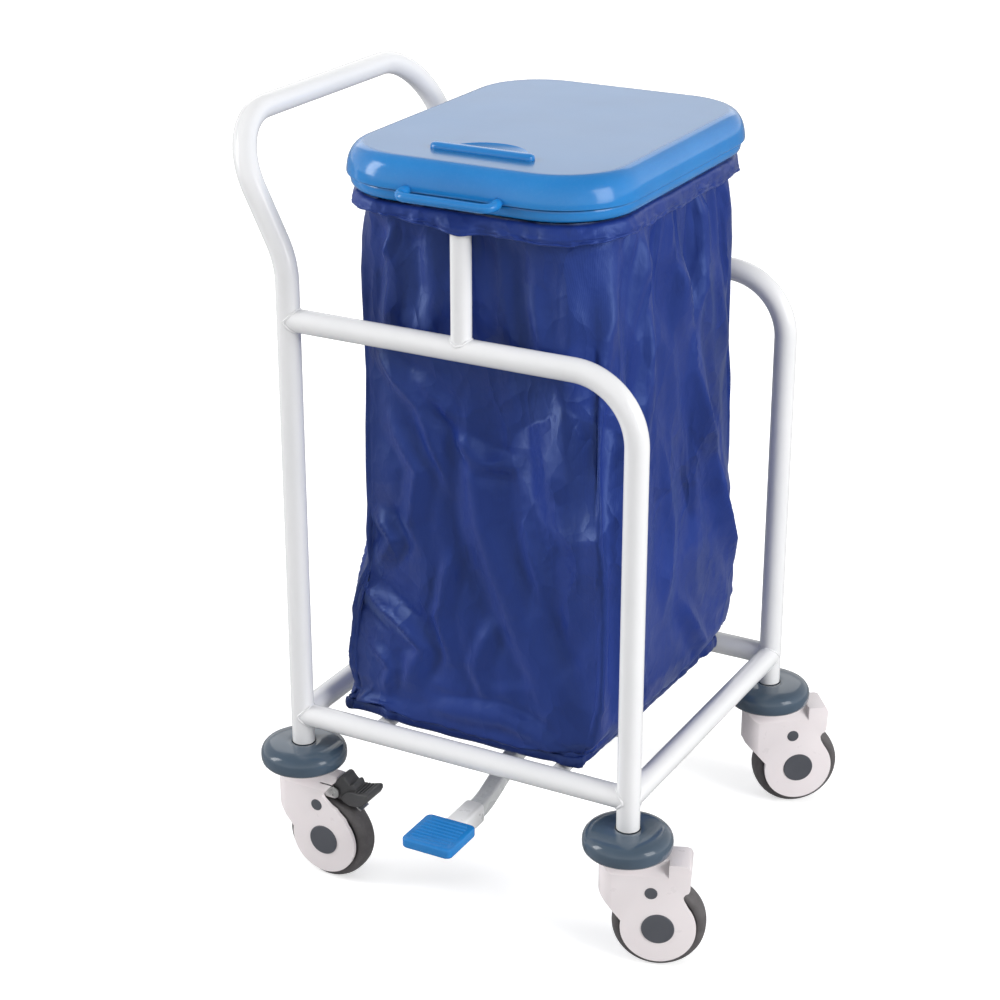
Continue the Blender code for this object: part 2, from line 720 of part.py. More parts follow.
def build_hood(corner, braked):
    hood = plate("hood_" + corner, [hood_outline(braked)], 2 * HOOD_HALF, "ivory_plastic", UPRIGHT_XZ)
    plan = [(0.08, -0.0205), (0.08, 0.0205)] + arc((-10 * MM, 0), 20 * MM, 90, 270, 6)
    nose = plate("hood_plan_" + corner, [plan], 0.3, "ivory_plastic", FLAT_XY, (0, 0, 0.08))
    combine(hood, as_cutter(nose), "INTERSECT")
    tunnel = cylinder(
        "wheel_tunnel_" + corner,
        WHEEL_R + 2.5 * MM,
        2 * (WHEEL_HALF + 1 * MM),
        (TRAIL, 0, WHEEL_R),
        "Y",
        28,
    )
    combine(hood, as_cutter(tunnel))
    bore = cylinder("kingpin_bore_" + corner, KINGPIN_R + 0.4 * MM, 0.04, (0, 0, 0.115), sides=14)
    combine(hood, as_cutter(bore))
    axle_bore = cylinder("axle_bore_" + corner, 5.4 * MM, 0.06, (TRAIL, 0, WHEEL_R), "Y", 14)
    combine(hood, as_cutter(axle_bore))
    if braked:
        slot = block("brake_slot_" + corner, (29 * MM, -15 * MM, 97 * MM), (0.1, 15 * MM, 118 * MM))
        combine(hood, as_cutter(slot))
    return hood


def build_wheel(corner):
    to_axle = Matrix.Translation((TRAIL, 0, WHEEL_R)) @ Matrix.Rotation(math.pi / 2, 4, "X")
    half = WHEEL_HALF
    seat = WHEEL_CORE_R + GAP
    profile = [(seat, 11), (44 * MM, 13.5), (49 * MM, 8), (WHEEL_R, 0), (49 * MM, -8), (44 * MM, -13.5)]
    profile = [(radius, height * MM) for radius, height in profile + [(seat, -11)]]
    tyre = turned("tyre_" + corner, profile, 24, "tyre_rubber", closed=True)
    rim = WHEEL_CORE_R
    bore = 5.6 * MM
    profile = [(bore, half), (12 * MM, half), (16 * MM, 8 * MM), (rim, 11 * MM)]
    profile += [(radius, -height) for radius, height in reversed(profile)]
    core = turned("wheel_core_" + corner, profile, 18, "dark_plastic", closed=True)
    cap = HUB_CAP_R
    face = HOOD_HALF + GAP
    outer = face + 1.6 * MM
    profile = [(0, outer), (cap - 1.5 * MM, outer), (cap, face), (5 * MM, face)]
    profile += [(radius, -height) for radius, height in reversed(profile)]
    axle = turned("axle_" + corner, profile, 18, "dark_plastic")
    for piece in (tyre, core, axle):
        piece.matrix_world = to_axle
    return [tyre, core, axle]


def build_brake(corner):
    """The brake pedal, and the steel bracket in the hood's notch that carries it on a pin."""
    name = "brake_pedal_" + corner
    pedal = plate(name, [brake_outline()], BRAKE_PEDAL_WIDE, "dark_plastic", UPRIGHT_XZ)
    bore = cylinder("pedal_bore_" + corner, 2.9 * MM, 0.05, (BRAKE_T, 0, BRAKE_Z), "Y", 14)
    combine(pedal, as_cutter(bore))

    outline = [(29.4 * MM, 117 * MM), (29.4 * MM, 103.2 * MM)]
    outline += arc((BRAKE_T, BRAKE_Z), 6.8 * MM, -90, 90, 6)
    name = "brake_bracket_" + corner
    bracket = plate(name, [outline], BRAKE_BRACKET_WIDE, "zinc", UPRIGHT_XZ)
    throat = block("bracket_throat_" + corner, (32 * MM, -12.2 * MM, 0.09), (0.07, 12.2 * MM, 0.13))
    combine(bracket, as_cutter(throat))
    pin = cylinder("brake_pin_" + corner, BRAKE_PIN_R, 27 * MM, (BRAKE_T, 0, BRAKE_Z), "Y", 12)
    combine(bracket, as_cutter(pin), "UNION")
    return [pedal, bracket]


def stand_on_footprint():
    """Hangs every piece on one empty, which carries the trolley to its place over the origin."""
    root = bpy.data.objects.new("footprint", None)
    PARTS.objects.link(root)
    root.location.y = FOOTPRINT_Y
    for obj in [*PARTS.objects, *CUTTERS.objects]:
        if obj != root and obj.parent is None:
            obj.parent = root


clear_scene()
PARTS = new_collection("linen_trolley")
CUTTERS = new_collection("cutters")
LOOKS = {
    "enamel": new_material("white_enamel", (0.80, 0.79, 0.80), 0.25),
    "lid_plastic": new_material("blue_abs", (0.03, 0.22, 0.62), 0.15),
    "fabric": new_material("blue_fabric", (0.03, 0.05, 0.22), 0.35),
    "bumper_plastic": new_material("slate_plastic", (0.07, 0.11, 0.16), 0.2),
    "ivory_plastic": new_material("ivory_plastic", (0.80, 0.72, 0.73), 0.3),
    "dark_plastic": new_material("dark_plastic", (0.09, 0.10, 0.13), 0.4),
    "tyre_rubber": new_material("tyre_rubber", (0.09, 0.085, 0.09), 0.6),
    "zinc": new_material("zinc_steel", (0.62, 0.63, 0.63), 0.35, 1.0),
}
copes = cope_cutters()
build_frame(copes)
build_bag_supports(copes)
build_bag()
build_lid()
build_hinge()
build_push_rod()
build_pedal()
build_lever_pivot()
for corner_name, (leg_x, leg_y, wheel_heading, has_brake) in CASTERS.items():
    build_caster(corner_name, leg_x, leg_y, wheel_heading, has_brake)
stand_on_footprint()
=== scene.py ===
import math

import bmesh
import bpy
import numpy as np
from mathutils import Matrix, Vector, noise


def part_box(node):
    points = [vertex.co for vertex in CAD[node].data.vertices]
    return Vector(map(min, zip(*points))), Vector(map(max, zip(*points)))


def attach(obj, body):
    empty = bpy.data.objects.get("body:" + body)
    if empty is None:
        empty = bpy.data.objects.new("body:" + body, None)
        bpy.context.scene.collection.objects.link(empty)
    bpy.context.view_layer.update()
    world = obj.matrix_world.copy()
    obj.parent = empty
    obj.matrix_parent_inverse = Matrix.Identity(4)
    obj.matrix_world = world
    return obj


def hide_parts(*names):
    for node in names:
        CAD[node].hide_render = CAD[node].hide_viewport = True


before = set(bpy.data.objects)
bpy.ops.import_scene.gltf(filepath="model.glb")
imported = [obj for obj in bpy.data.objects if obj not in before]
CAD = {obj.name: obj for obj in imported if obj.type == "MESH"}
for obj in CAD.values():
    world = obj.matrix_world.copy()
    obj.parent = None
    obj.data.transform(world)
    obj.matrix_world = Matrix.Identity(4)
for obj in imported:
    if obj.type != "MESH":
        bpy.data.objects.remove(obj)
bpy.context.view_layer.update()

MM = 0.001

# Sizes that the CAD was built to, in metres
CENTRE_X = 0.005
LEG_X = 0.200
LEG_Y = 0.191
TUBE_R = 0.0125
POST_R = 0.0108
BAR_R = 0.008
BASE_Z = 0.192
RAIL_Z = 0.650
POST_TOP_Z = 0.7797
HOOP_Z = 0.784
HOOP_R = 0.004
BAR_X = 0.108
BAR_Z = 0.190
LID_HALF_X = 0.160
LID_HALF_Y = 0.204
LID_CORNER_R = 0.085
LID_LIP_Z = 0.808
LID_TOP_Z = 0.839
WHEEL_R = 0.050
TRAIL = 0.035
POST_INSET = LID_HALF_Y - LEG_Y

UP = (0, 0, 1)
SIDES = (("front", -1), ("back", 1))
QUARTERS = ((1, 1, 0), (-1, 1, 90), (-1, -1, 180), (1, -1, 270))  # signs of the two ways, and the arc's start

# Everything below is drawn about the centre of the four legs, and moved to where the frame has them
LEG_CENTRE = sum((sum(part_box(n), Vector()) / 4 for n in ("base_rail_handle_end", "base_rail_far_end")), Vector())
LEG_CENTRE.z = 0
TO_FRAME = Matrix.Translation(LEG_CENTRE)

# Corner name: leg's place, heading of the trailing wheel in degrees, whether it brakes
CASTERS = {
    "a": (-LEG_X, -LEG_Y, 0, True),
    "b": (LEG_X, -LEG_Y, 21, False),
    "c": (LEG_X, LEG_Y, 37, False),
    "d": (-LEG_X, LEG_Y, 8, True),
}


# ---------------------------------------------------------------- materials


class Nodes:
    """A short way to write a material's node tree."""

    def __init__(self, name):
        self.material = bpy.data.materials.new(name)
        self.material.use_nodes = True
        self.tree = self.material.node_tree
        self.shader = self.tree.nodes["Principled BSDF"]
        self.coords = self.tree.nodes.new("ShaderNodeTexCoord")

    def add(self, kind, inputs=None, **settings):
        node = self.tree.nodes.new("ShaderNode" + kind)
        for key, value in settings.items():
            setattr(node, key, value)
        for key, value in (inputs or {}).items():
            self.feed(node.inputs[key], value)
        return node

    def feed(self, socket, value):
        if isinstance(value, bpy.types.NodeSocket):
            self.tree.links.new(value, socket)
        else:
            socket.default_value = value

    def set(self, **inputs):
        for key, value in inputs.items():
            self.feed(self.shader.inputs[key.replace("_", " ")], value)

    def noise(self, scale, detail=4.0, stretch=(1, 1, 1), rough=0.5):
        mapping = self.add("Mapping", {"Vector": self.coords.outputs["Object"], "Scale": stretch})
        inputs = {"Vector": mapping.outputs[0], "Scale": scale, "Detail": detail, "Roughness": rough}
        return self.add("TexNoise", inputs).outputs["Fac"]

    def remap(self, value, low, high, start=0.3, end=0.7):
        inputs = {"Value": value, "From Min": start, "From Max": end, "To Min": low, "To Max": high}
        return self.add("MapRange", inputs).outputs[0]

    def blend(self, factor, first, second, mode="MIX"):
        mix = self.add("Mix", data_type="RGBA", blend_type=mode)
        for index, value in ((0, factor), (6, first), (7, second)):
            if isinstance(value, tuple):
                value = (*value, 1.0)
            self.feed(mix.inputs[index], value)
        return mix.outputs[2]

    def bump(self, height, strength, distance, under=None):
        inputs = {"Height": height, "Strength": strength, "Distance": distance}
        if under is not None:
            inputs["Normal"] = under
        return self.add("Bump", inputs).outputs[0]

    def toned(self, scale, detail, low, high, rough=0.5):
        return self.blend(self.remap(self.noise(scale, detail, rough=rough), 0, 1), low, high)

    def grain(self, *layers):
        """Bumps from the finest noise up: its scale and detail, the strength and depth, and maybe its stretch."""
        normal = None
        for scale, detail, strength, depth, *stretch in layers:
            normal = self.bump(self.noise(scale, detail, *stretch), strength, depth, normal)
        self.set(Normal=normal)

    def math(self, operation, first, second, clamp=False):
        return self.add("Math", {0: first, 1: second}, operation=operation, use_clamp=clamp).outputs[0]

    def vector(self, operation, first, second=(0, 0, 0)):
        slot = "Scale" if operation == "SCALE" else 1
        return self.add("VectorMath", {0: first, slot: second}, operation=operation).outputs[0]

    def cells(self, scale, **settings):
        """Warped cells, taller than they are wide."""
        place = self.coords.outputs["Object"]
        warp = self.add("TexNoise", {"Vector": place, "Scale": scale * 0.7, "Detail": 2.0}).outputs["Color"]
        place = self.vector("ADD", place, self.vector("SCALE", warp, 0.9 / scale))
        mapping = self.add("Mapping", {"Vector": place, "Scale": (1, 1, 0.55), "Rotation": (0.3, 0.5, 0)})
        return self.add("TexVoronoi", {"Vector": mapping.outputs[0], "Scale": scale}, **settings)

    def facets(self, scale):
        """Heights of shallow dishes that meet in sharp ridges."""
        return self.math("POWER", self.cells(scale, feature="F1").outputs["Distance"], 2.0)

    def planes(self, scale, tilt, normal):
        """The normal given, with flat panels that each lean their own way, as in creased cloth."""
        cells = self.cells(scale, feature="SMOOTH_F1")
        cells.inputs["Smoothness"].default_value = 0.10
        lean = self.vector("SUBTRACT", cells.outputs["Color"], (0.5, 0.5, 0.5))
        return self.vector("NORMALIZE", self.vector("ADD", self.vector("SCALE", lean, tilt), normal))

    def edge_wear(self, size=0.0012, sharp=8.0):
        """1 on convex edges and 0 on flats, from how far a bevelled normal leans away."""
        bevel = self.add("Bevel", {"Radius": size}, samples=4).outputs[0]
        flat = self.add("NewGeometry").outputs["Normal"]
        dot = self.add("VectorMath", {0: bevel, 1: flat}, operation="DOT_PRODUCT").outputs["Value"]
        return self.math("MULTIPLY", self.math("SUBTRACT", 1.0, dot), sharp, clamp=True)


def enamel():
    m = Nodes("white_powder_coat")
    color = m.toned(9, 3, (0.735, 0.74, 0.75), (0.765, 0.765, 0.775))
    dirt = m.remap(m.noise(90, 6, rough=0.7), 0, 0.05, 0.50, 0.80)
    color = m.blend(dirt, color, (0.50, 0.48, 0.45))
    m.set(Base_Color=color, Roughness=m.remap(m.noise(40, 4), 0.20, 0.25), IOR=1.5)
    m.set(Coat_Weight=0.35, Coat_Roughness=0.08)
    m.grain((420, 2, 0.05, 0.0006), (60, 2, 0.04, 0.002))
    return m.material


def blue_abs(flat_top=False):
    """Moulded plastic. The lid's has a satin top that turns glossy towards its sides, and that top is painted a
    darker blue than the walls as painted shade, for the lesser light that falls on it.
    """
    m = Nodes("blue_abs_lid_shaded_top" if flat_top else "blue_abs")
    tone = m.remap(m.noise(14, 3), 0, 1)
    color = m.blend(tone, (0.010, 0.170, 0.470), (0.015, 0.195, 0.520))
    scuff = m.remap(m.noise(300, 5, (1, 0.2, 1), rough=0.7), 0, 0.06, 0.5, 0.8)
    color = m.blend(scuff, color, (0.16, 0.36, 0.66))
    rough = m.remap(m.noise(45, 4), 0.12, 0.19)
    if flat_top:
        upright = m.add("SeparateXYZ", {"Vector": m.coords.outputs["Normal"]}).outputs["Z"]
        level = m.remap(upright, 0, 1, 0.95, 0.999)
        # Painted shade: upward faces get a darker blue than the walls, as less light falls on the lid's top; the same
        # mask also makes the top a rougher satin.
        color = m.blend(level, color, m.blend(tone, (0.012, 0.128, 0.330), (0.015, 0.142, 0.360)))
        rough = m.add("Mix", {0: level, 2: rough, 3: m.remap(m.noise(9, 3), 0.28, 0.30)}).outputs[0]
    m.set(Base_Color=color, Roughness=rough, IOR=1.53)
    m.set(Subsurface_Weight=0.04, Subsurface_Radius=(0.002, 0.004, 0.010), Subsurface_Scale=1.0)
    m.set(Coat_Weight=0.25, Coat_Roughness=0.10)
    if flat_top:
        m.grain((700, 3, 0.06, 0.0004))
    else:
        m.grain((700, 3, 0.03, 0.0004), (22, 2, 0.03, 0.002))
    return m.material


def bag_cloth(name="bag_nylon", dark=False):
    """Coated nylon: a square ripstop grid of threads, and a crinkle that no fold is small enough for."""
    m = Nodes(name)
    uv = m.coords.outputs["UV"]
    weave = []
    for turn in (0.0, math.pi / 2):
        mapping = m.add("Mapping", {"Vector": uv, "Rotation": (0, 0, turn)})
        inputs = {"Vector": mapping.outputs[0], "Scale": 260.0, "Distortion": 0.25, "Detail": 1.0}
        weave.append(m.add("TexWave", inputs, wave_type="BANDS", bands_direction="X").outputs["Fac"])
    threads = m.math("MULTIPLY", *weave)
    base = (0.006, 0.015, 0.105) if dark else (0.0085, 0.023, 0.152)
    lit = (0.009, 0.022, 0.135) if dark else (0.011, 0.029, 0.192)
    color = m.toned(7, 4, base, lit)
    color = m.blend(m.remap(threads, 0, 0.22, 0.0, 1.0), color, (0.030, 0.065, 0.27))
    rubbed = m.remap(m.noise(48, 6, (1, 1, 0.35), rough=0.7), 0, 0.06, 0.55, 0.80)
    color = m.blend(rubbed, color, (0.05, 0.09, 0.30))
    m.set(Base_Color=color, Roughness=m.remap(m.noise(30, 4), 0.34, 0.42), IOR=1.70)
    m.set(Specular_Tint=(0.42, 0.60, 1.0, 1.0))
    m.set(Sheen_Weight=0.30, Sheen_Roughness=0.30, Sheen_Tint=(0.40, 0.55, 1.0, 1.0))
    busy = m.remap(m.noise(5.5, 2), 0.22, 0.82, 0.40, 0.64)
    panels = m.planes(12.0, busy, m.add("NewGeometry").outputs["Normal"])
    fine = m.bump(threads, 0.20, 0.0003, panels)
    crinkle = m.bump(m.noise(95, 4, (1, 1, 0.6), rough=0.6), 0.22, 0.0016, fine)
    under = m.bump(m.noise(26, 3, (1, 1, 0.5)), 0.25, 0.004, crinkle)
    for scale, slope in ((70.0, 0.12), (28.0, 0.22)):
        under = m.bump(m.facets(scale), busy, slope / scale, under)
    m.set(Normal=under)
    return m.material


def moulded(name, low, high, rough, bump=0.05, coat=0.0, wear=None, subsurface=0.0):
    m = Nodes(name)
    color = m.toned(24, 4, low, high)
    if wear:
        color = m.blend(m.edge_wear(), color, wear)
    m.set(Base_Color=color, Roughness=m.remap(m.noise(70, 4), rough[0], rough[1]), IOR=1.5)
    m.set(Coat_Weight=coat, Coat_Roughness=0.06)
    m.set(Subsurface_Weight=subsurface, Subsurface_Radius=(0.004, 0.003, 0.003), Subsurface_Scale=1.0)
    m.grain((700, 3, bump, 0.0004), (35, 2, 0.04, 0.002))
    return m.material


def tyre_rubber():
    m = Nodes("grey_rubber")
    color = m.toned(60, 6, (0.075, 0.070, 0.072), (0.115, 0.108, 0.110), rough=0.7)
    dust = m.remap(m.noise(160, 6, rough=0.75), 0, 0.35, 0.55, 0.80)
    color = m.blend(dust, color, (0.20, 0.19, 0.18))
    m.set(Base_Color=color, Roughness=m.remap(m.noise(90, 4), 0.42, 0.62))
    m.grain((1400, 3, 0.15, 0.0004), (240, 4, 0.18, 0.0008))
    return m.material


def zinc():
    m = Nodes("zinc_plate")
    color = m.toned(70, 5, (0.50, 0.51, 0.52), (0.72, 0.72, 0.70), rough=0.65)
    m.set(Base_Color=color, Metallic=1.0, Roughness=m.remap(m.noise(120, 5), 0.24, 0.42))
    m.grain((300, 3, 0.10, 0.0004, (1, 1, 0.08)), (50, 2, 0.05, 0.001))
    return m.material


def floor_white():
    m = Nodes("studio_floor")
    color = m.toned(1.5, 3, (0.86, 0.86, 0.86), (0.88, 0.88, 0.88))
    rays = m.add("LightPath").outputs
    seen = rays["Is Camera Ray"]
    unseen = m.blend(rays["Is Diffuse Ray"], (0.28, 0.28, 0.28), (0.62, 0.62, 0.62))
    color = m.blend(seen, unseen, color)
    glow = m.math("MULTIPLY", seen, 0.46)
    m.set(Base_Color=color, Roughness=0.75, Emission_Color=(1.0, 1.0, 1.0, 1.0), Emission_Strength=glow)
    return m.material


LOOKS = {
    "white_enamel": enamel(),
    "blue_abs": blue_abs(),
    "blue_lid": blue_abs(flat_top=True),
    "blue_fabric": bag_cloth(),
    "blue_hem": bag_cloth("bag_nylon_hem", dark=True),
    "slate_plastic": moulded("slate_bumper", (0.050, 0.078, 0.112), (0.062, 0.092, 0.130), (0.10, 0.20), 0.03, 0.5),
    "ivory_plastic": moulded(
        "ivory_nylon", (0.79, 0.735, 0.748), (0.81, 0.755, 0.765), (0.27, 0.33), 0.05, 0.15, subsurface=0.06
    ),
    "dark_plastic": moulded("dark_plastic", (0.068, 0.072, 0.085), (0.085, 0.090, 0.105), (0.32, 0.46), 0.10),
    "brake_plastic": moulded(
        "brake_plastic", (0.055, 0.055, 0.058), (0.075, 0.075, 0.078), (0.36, 0.52), 0.12, wear=(0.13, 0.13, 0.13)
    ),
    "tyre_rubber": tyre_rubber(),
    "zinc_steel": zinc(),
    "lever_enamel": moulded("pale_lever_paint", (0.58, 0.59, 0.59), (0.68, 0.69, 0.69), (0.22, 0.34), 0.06, 0.2),
    "white_sleeve": moulded("white_sleeve", (0.80, 0.80, 0.80), (0.86, 0.86, 0.86), (0.25, 0.38), 0.06),
}


# ---------------------------------------------------------------- mesh helpers


def finish_piece(obj, look, body, replaces=(), angle=35):
    """Moves a piece to the frame's place, gives it its look, and lets it ride on its body."""
    obj.data.transform(TO_FRAME)
    obj.data.materials.clear()
    obj.data.materials.append(LOOKS[look])
    obj.data.shade_smooth()
    obj.data.set_sharp_from_angle(angle=math.radians(angle))
    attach(obj, body)
    if replaces:
        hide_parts(*replaces)


def new_object(name, verts, faces):
    mesh = bpy.data.meshes.new(name)
    mesh.from_pydata([tuple(v) for v in verts], [], faces)
    mesh.update()
    obj = bpy.data.objects.new(name, mesh)
    bpy.context.scene.collection.objects.link(obj)
    return obj


def in_metres(points):
    return [(a * MM, b * MM) for a, b in points]


def face_out(obj):
    shape = bmesh.new()
    shape.from_mesh(obj.data)
    bmesh.ops.recalc_face_normals(shape, faces=shape.faces)
    shape.to_mesh(obj.data)
    shape.free()
    return obj


def quads(rows, count):
    """Faces between rows of points, each row closed round."""
    faces = []
    for a in range(0, (rows - 1) * count, count):
        faces += [(a + k, a + n, a + n + count, a + k + count) for k in range(count) for n in [(k + 1) % count]]
    return faces


def ring_mesh(name, rings, cap_first=False, cap_last=False, join_ends=False):
    """A skin over rings of equal count."""
    count = len(rings[0])
    verts = [v for ring in rings for v in ring]
    faces = quads(len(rings), count)
    last = len(verts) - count
    if join_ends:
        faces += [(last + k, last + n, n, k) for k in range(count) for n in [(k + 1) % count]]
    if cap_first:
        faces.append(tuple(range(count)))
    if cap_last:
        faces.append(tuple(range(last, len(verts))))
    return face_out(new_object(name, verts, faces))


def add_bevel(obj, width, segments=3, angle=30):
    bevel = obj.modifiers.new("Bevel", "BEVEL")
    bevel.width = width
    bevel.segments = segments
    bevel.limit_method = "ANGLE"
    bevel.angle_limit = math.radians(angle)
    bevel.harden_normals = False


def soften(obj, width, segments=3, angle=30, place=Matrix.Identity(4)):
    """Rounds the edges for good, then places the piece."""
    add_bevel(obj, width, segments, angle)
    apply_modifiers(obj)
    obj.data.transform(place)


def add_wall(obj, thickness=0.0008):
    """Gives a skin of cloth its thickness."""
    shell = obj.modifiers.new("Wall", "SOLIDIFY")
    shell.thickness = thickness
    shell.offset = 0
    apply_modifiers(obj)


def apply_modifiers(obj):
    bpy.context.view_layer.update()
    graph = bpy.context.evaluated_depsgraph_get()
    mesh = bpy.data.meshes.new_from_object(obj.evaluated_get(graph))
    obj.modifiers.clear()
    obj.data = mesh


def boolean(obj, other, operation="DIFFERENCE"):
    step = obj.modifiers.new("Cut", "BOOLEAN")
    step.operation = operation
    step.object = other
    apply_modifiers(obj)
    bpy.data.objects.remove(other)


def lathe(name, profile, place=Matrix.Identity(4), steps=72, closed=False):
    """A profile of (radius, height) turned about Z, then placed."""
    rings = []
    for radius, height in profile:
        ring = []
        for k in range(steps):
            a = 2 * math.pi * k / steps
            ring.append(place @ Vector((radius * math.cos(a), radius * math.sin(a), height)))
        rings.append(ring)
    return ring_mesh(name, rings, not closed, not closed, closed)


def turned(name, profile, place, steps, look, body, nodes=(), angle=35, closed=False):
    """A finished piece from a profile in millimetres."""
    finish_piece(lathe(name, in_metres(profile), place, steps, closed), look, body, nodes, angle)


def prism(name, outline, low, high, place=Matrix.Identity(4)):
    """A flat (t, z) outline given a width from low to high across it."""
    count = len(outline)
    verts = [place @ Vector((x, y, z)) for y in (low, high) for x, z in outline]
    faces = [tuple(range(count)), tuple(range(2 * count - 1, count - 1, -1))]
    for k in range(count):
        n = (k + 1) % count
        faces.append((k, n, n + count, k + count))
    return face_out(new_object(name, verts, faces))


def box_mesh(name, low, high, place=Matrix.Identity(4)):
    outline = [(low[0], low[2]), (high[0], low[2]), (high[0], high[2]), (low[0], high[2])]
    return prism(name, outline, low[1], high[1], place)


def sweep(name, path, radius, sides=28, closed=False, flat=1.0):
    """A round bar along a path. Radius is a number or one for each point, and flat squeezes it upright."""
    path = [Vector(p) for p in path]
    count = len(path)
    radii = radius if isinstance(radius, (list, tuple)) else [radius] * count
    tangents = []
    for k in range(count):
        ahead = path[(k + 1) % count] if closed or k < count - 1 else path[k]
        behind = path[k - 1] if closed or k > 0 else path[k]
        tangents.append((ahead - behind).normalized())
    up = Vector((0, 0, 1)) if abs(tangents[0].z) < 0.9 else Vector((0, 1, 0))
    side = tangents[0].cross(up).normalized()
    rings = []
    for point, tangent, r in zip(path, tangents, radii):
        side = (side - tangent * side.dot(tangent)).normalized()
        upright = tangent.cross(side)
        ring = []
        for k in range(sides):
            a = 2 * math.pi * k / sides
            ring.append(point + side * (r * math.cos(a)) + upright * (r * flat * math.sin(a)))
        rings.append(ring)
    return ring_mesh(name, rings, not closed, not closed, closed)


def arc(centre, radius, start, end, steps):
    angles = [math.radians(start + (end - start) * k / steps) for k in range(steps + 1)]
    return [(centre[0] + radius * math.cos(a), centre[1] + radius * math.sin(a)) for a in angles]


def rounded_path(corners, radii, turn_step=4.0, straight=0.03):
    """A path through corners, each bent to its radius, with points along its straights too."""
    points = [Vector(corners[0])]
    for before, corner, after, radius in zip(corners, corners[1:], corners[2:], radii):
        corner = Vector(corner)
        back = (Vector(before) - corner).normalized()
        ahead = (Vector(after) - corner).normalized()
        bend = math.pi - back.angle(ahead)
        reach = radius * math.tan(bend / 2)
        centre = corner + (back + ahead).normalized() * (radius / math.cos(bend / 2))
        spoke = corner + back * reach - centre
        axis = spoke.cross(corner + ahead * reach - centre).normalized()
        steps = max(3, round(math.degrees(bend) / turn_step))
        for k in range(steps + 1):
            points.append(centre + Matrix.Rotation(bend * k / steps, 3, axis) @ spoke)
    points.append(Vector(corners[-1]))
    full = [points[0]]
    for point in points[1:]:
        gap = (point - full[-1]).length
        pieces = max(1, int(gap / straight))
        start = full[-1]
        full += [start.lerp(point, k / pieces) for k in range(1, pieces + 1)]
    return full


def rounded_rect(half_x, half_y, radius, z, shift=CENTRE_X, corner=10, side_x=14, side_y=16):
    """A rounded rectangle as a ring of points, with points along its straight sides."""
    points = []
    for sign_x, sign_y, start in QUARTERS:
        middle = (shift + sign_x * (half_x - radius), sign_y * (half_y - radius))
        points += arc(middle, radius, start, start + 90, corner)
        x, y = points[-1]
        far, n = ((2 * shift - x, y), side_x) if start in (0, 180) else ((x, -y), side_y)
        points += [(x + (far[0] - x) * k / n, y + (far[1] - y) * k / n) for k in range(1, n)]
    return [Vector((x, y, z)) for x, y in points]


def lid_outline(inset, z, **kwargs):
    return rounded_rect(LID_HALF_X - inset, LID_HALF_Y - inset, LID_CORNER_R - inset, z, **kwargs)


def weld_bead(name, centre, along, through, small, big, width=0.0013):
    """The fillet where a tube running along one way meets the side of a tube running through another."""
    centre = Vector(centre)
    along = Vector(along).normalized()
    through = Vector(through).normalized()
    across = along.cross(through)
    path = []
    steps = 56
    for k in range(steps):
        a = 2 * math.pi * k / steps
        off = small * math.cos(a)
        reach = math.sqrt(max(big * big - off * off, (0.12 * big) ** 2))
        ripple = 1 + 0.05 * math.sin(9 * a + centre.x * 70)
        path.append(centre + along * (reach * ripple) + across * off + through * (small * math.sin(a)))
    finish_piece(sweep(name, path, width, sides=10, closed=True), "white_enamel", "frame", angle=180)


# ---------------------------------------------------------------- tube frame


def tube(name, node, path, radius=TUBE_R, sides=40):
    finish_piece(sweep(name, path, radius, sides), "white_enamel", "frame", [node])


def build_frame():
    foot = 0.1583
    near = [(-LEG_X, -LEG_Y, foot), (-LEG_X, -LEG_Y, 0.712), (-LEG_X - 0.0695, -LEG_Y, 0.851)]
    corners = near + [(x, -y, z) for x, y, z in reversed(near)]
    tube("handle_tube", "handle_frame", rounded_path(corners, [0.100, 0.075, 0.075, 0.100]))
    for side, sign in SIDES:
        y = sign * LEG_Y
        start = (-LEG_X + 0.004, y, RAIL_Z)
        path = rounded_path([start, (LEG_X, y, RAIL_Z), (LEG_X, y, foot)], [0.070])
        tube("side_tube_" + side, "side_hoop_" + side, path)
        weld_bead("rail_weld_" + side, (-LEG_X, y, RAIL_Z), (1, 0, 0), UP, TUBE_R, TUBE_R)
        tube("base_tube_" + side, "base_rail_" + side, straight((-LEG_X, y, BASE_Z), (LEG_X, y, BASE_Z)))
        for end, way in (("handle", -1), ("far", 1)):
            spot = (way * LEG_X, y, BASE_Z)
            weld_bead(f"base_weld_{side}_{end}", spot, (-way, 0, 0), UP, TUBE_R, TUBE_R)
        path = straight((CENTRE_X, y, RAIL_Z), (CENTRE_X, y, POST_TOP_Z))
        tube("post_tube_" + side, "ring_post_" + side, path, POST_R)
        weld_bead("post_weld_" + side, (CENTRE_X, y, RAIL_Z), UP, (1, 0, 0), POST_R, TUBE_R)
    for end, way in (("handle_end", -1), ("far_end", 1)):
        rails = (
            ("base_tube_", "base_rail_", "cross_weld", LEG_X, BASE_Z, TUBE_R, 40, UP, 0.0013),
            ("support_bar_", "bag_support_bar_", "bar_weld", BAR_X, BAR_Z, BAR_R, 28, (1, 0, 0), 0.0012),
        )
        for name, node, weld, out, z, radius, sides, through, width in rails:
            x = way * out
            tube(name + end, node + end, straight((x, -LEG_Y, z), (x, LEG_Y, z)), radius, sides)
            for side, sign in SIDES:
                spot = (x, sign * LEG_Y, z)
                weld_bead(f"{weld}_{side}_{end}", spot, (0, -sign, 0), through, radius, TUBE_R, width)
    hoop = sweep("bag_hoop_rod", lid_outline(POST_INSET, HOOP_Z), HOOP_R, 16, closed=True)
    finish_piece(hoop, "white_enamel", "frame", ["bag_hoop"])


def straight(start, end, step=0.02):
    start, end = Vector(start), Vector(end)
    count = max(2, int((end - start).length / step))
    return [start.lerp(end, k / count) for k in range(count + 1)]


# ---------------------------------------------------------------- lid


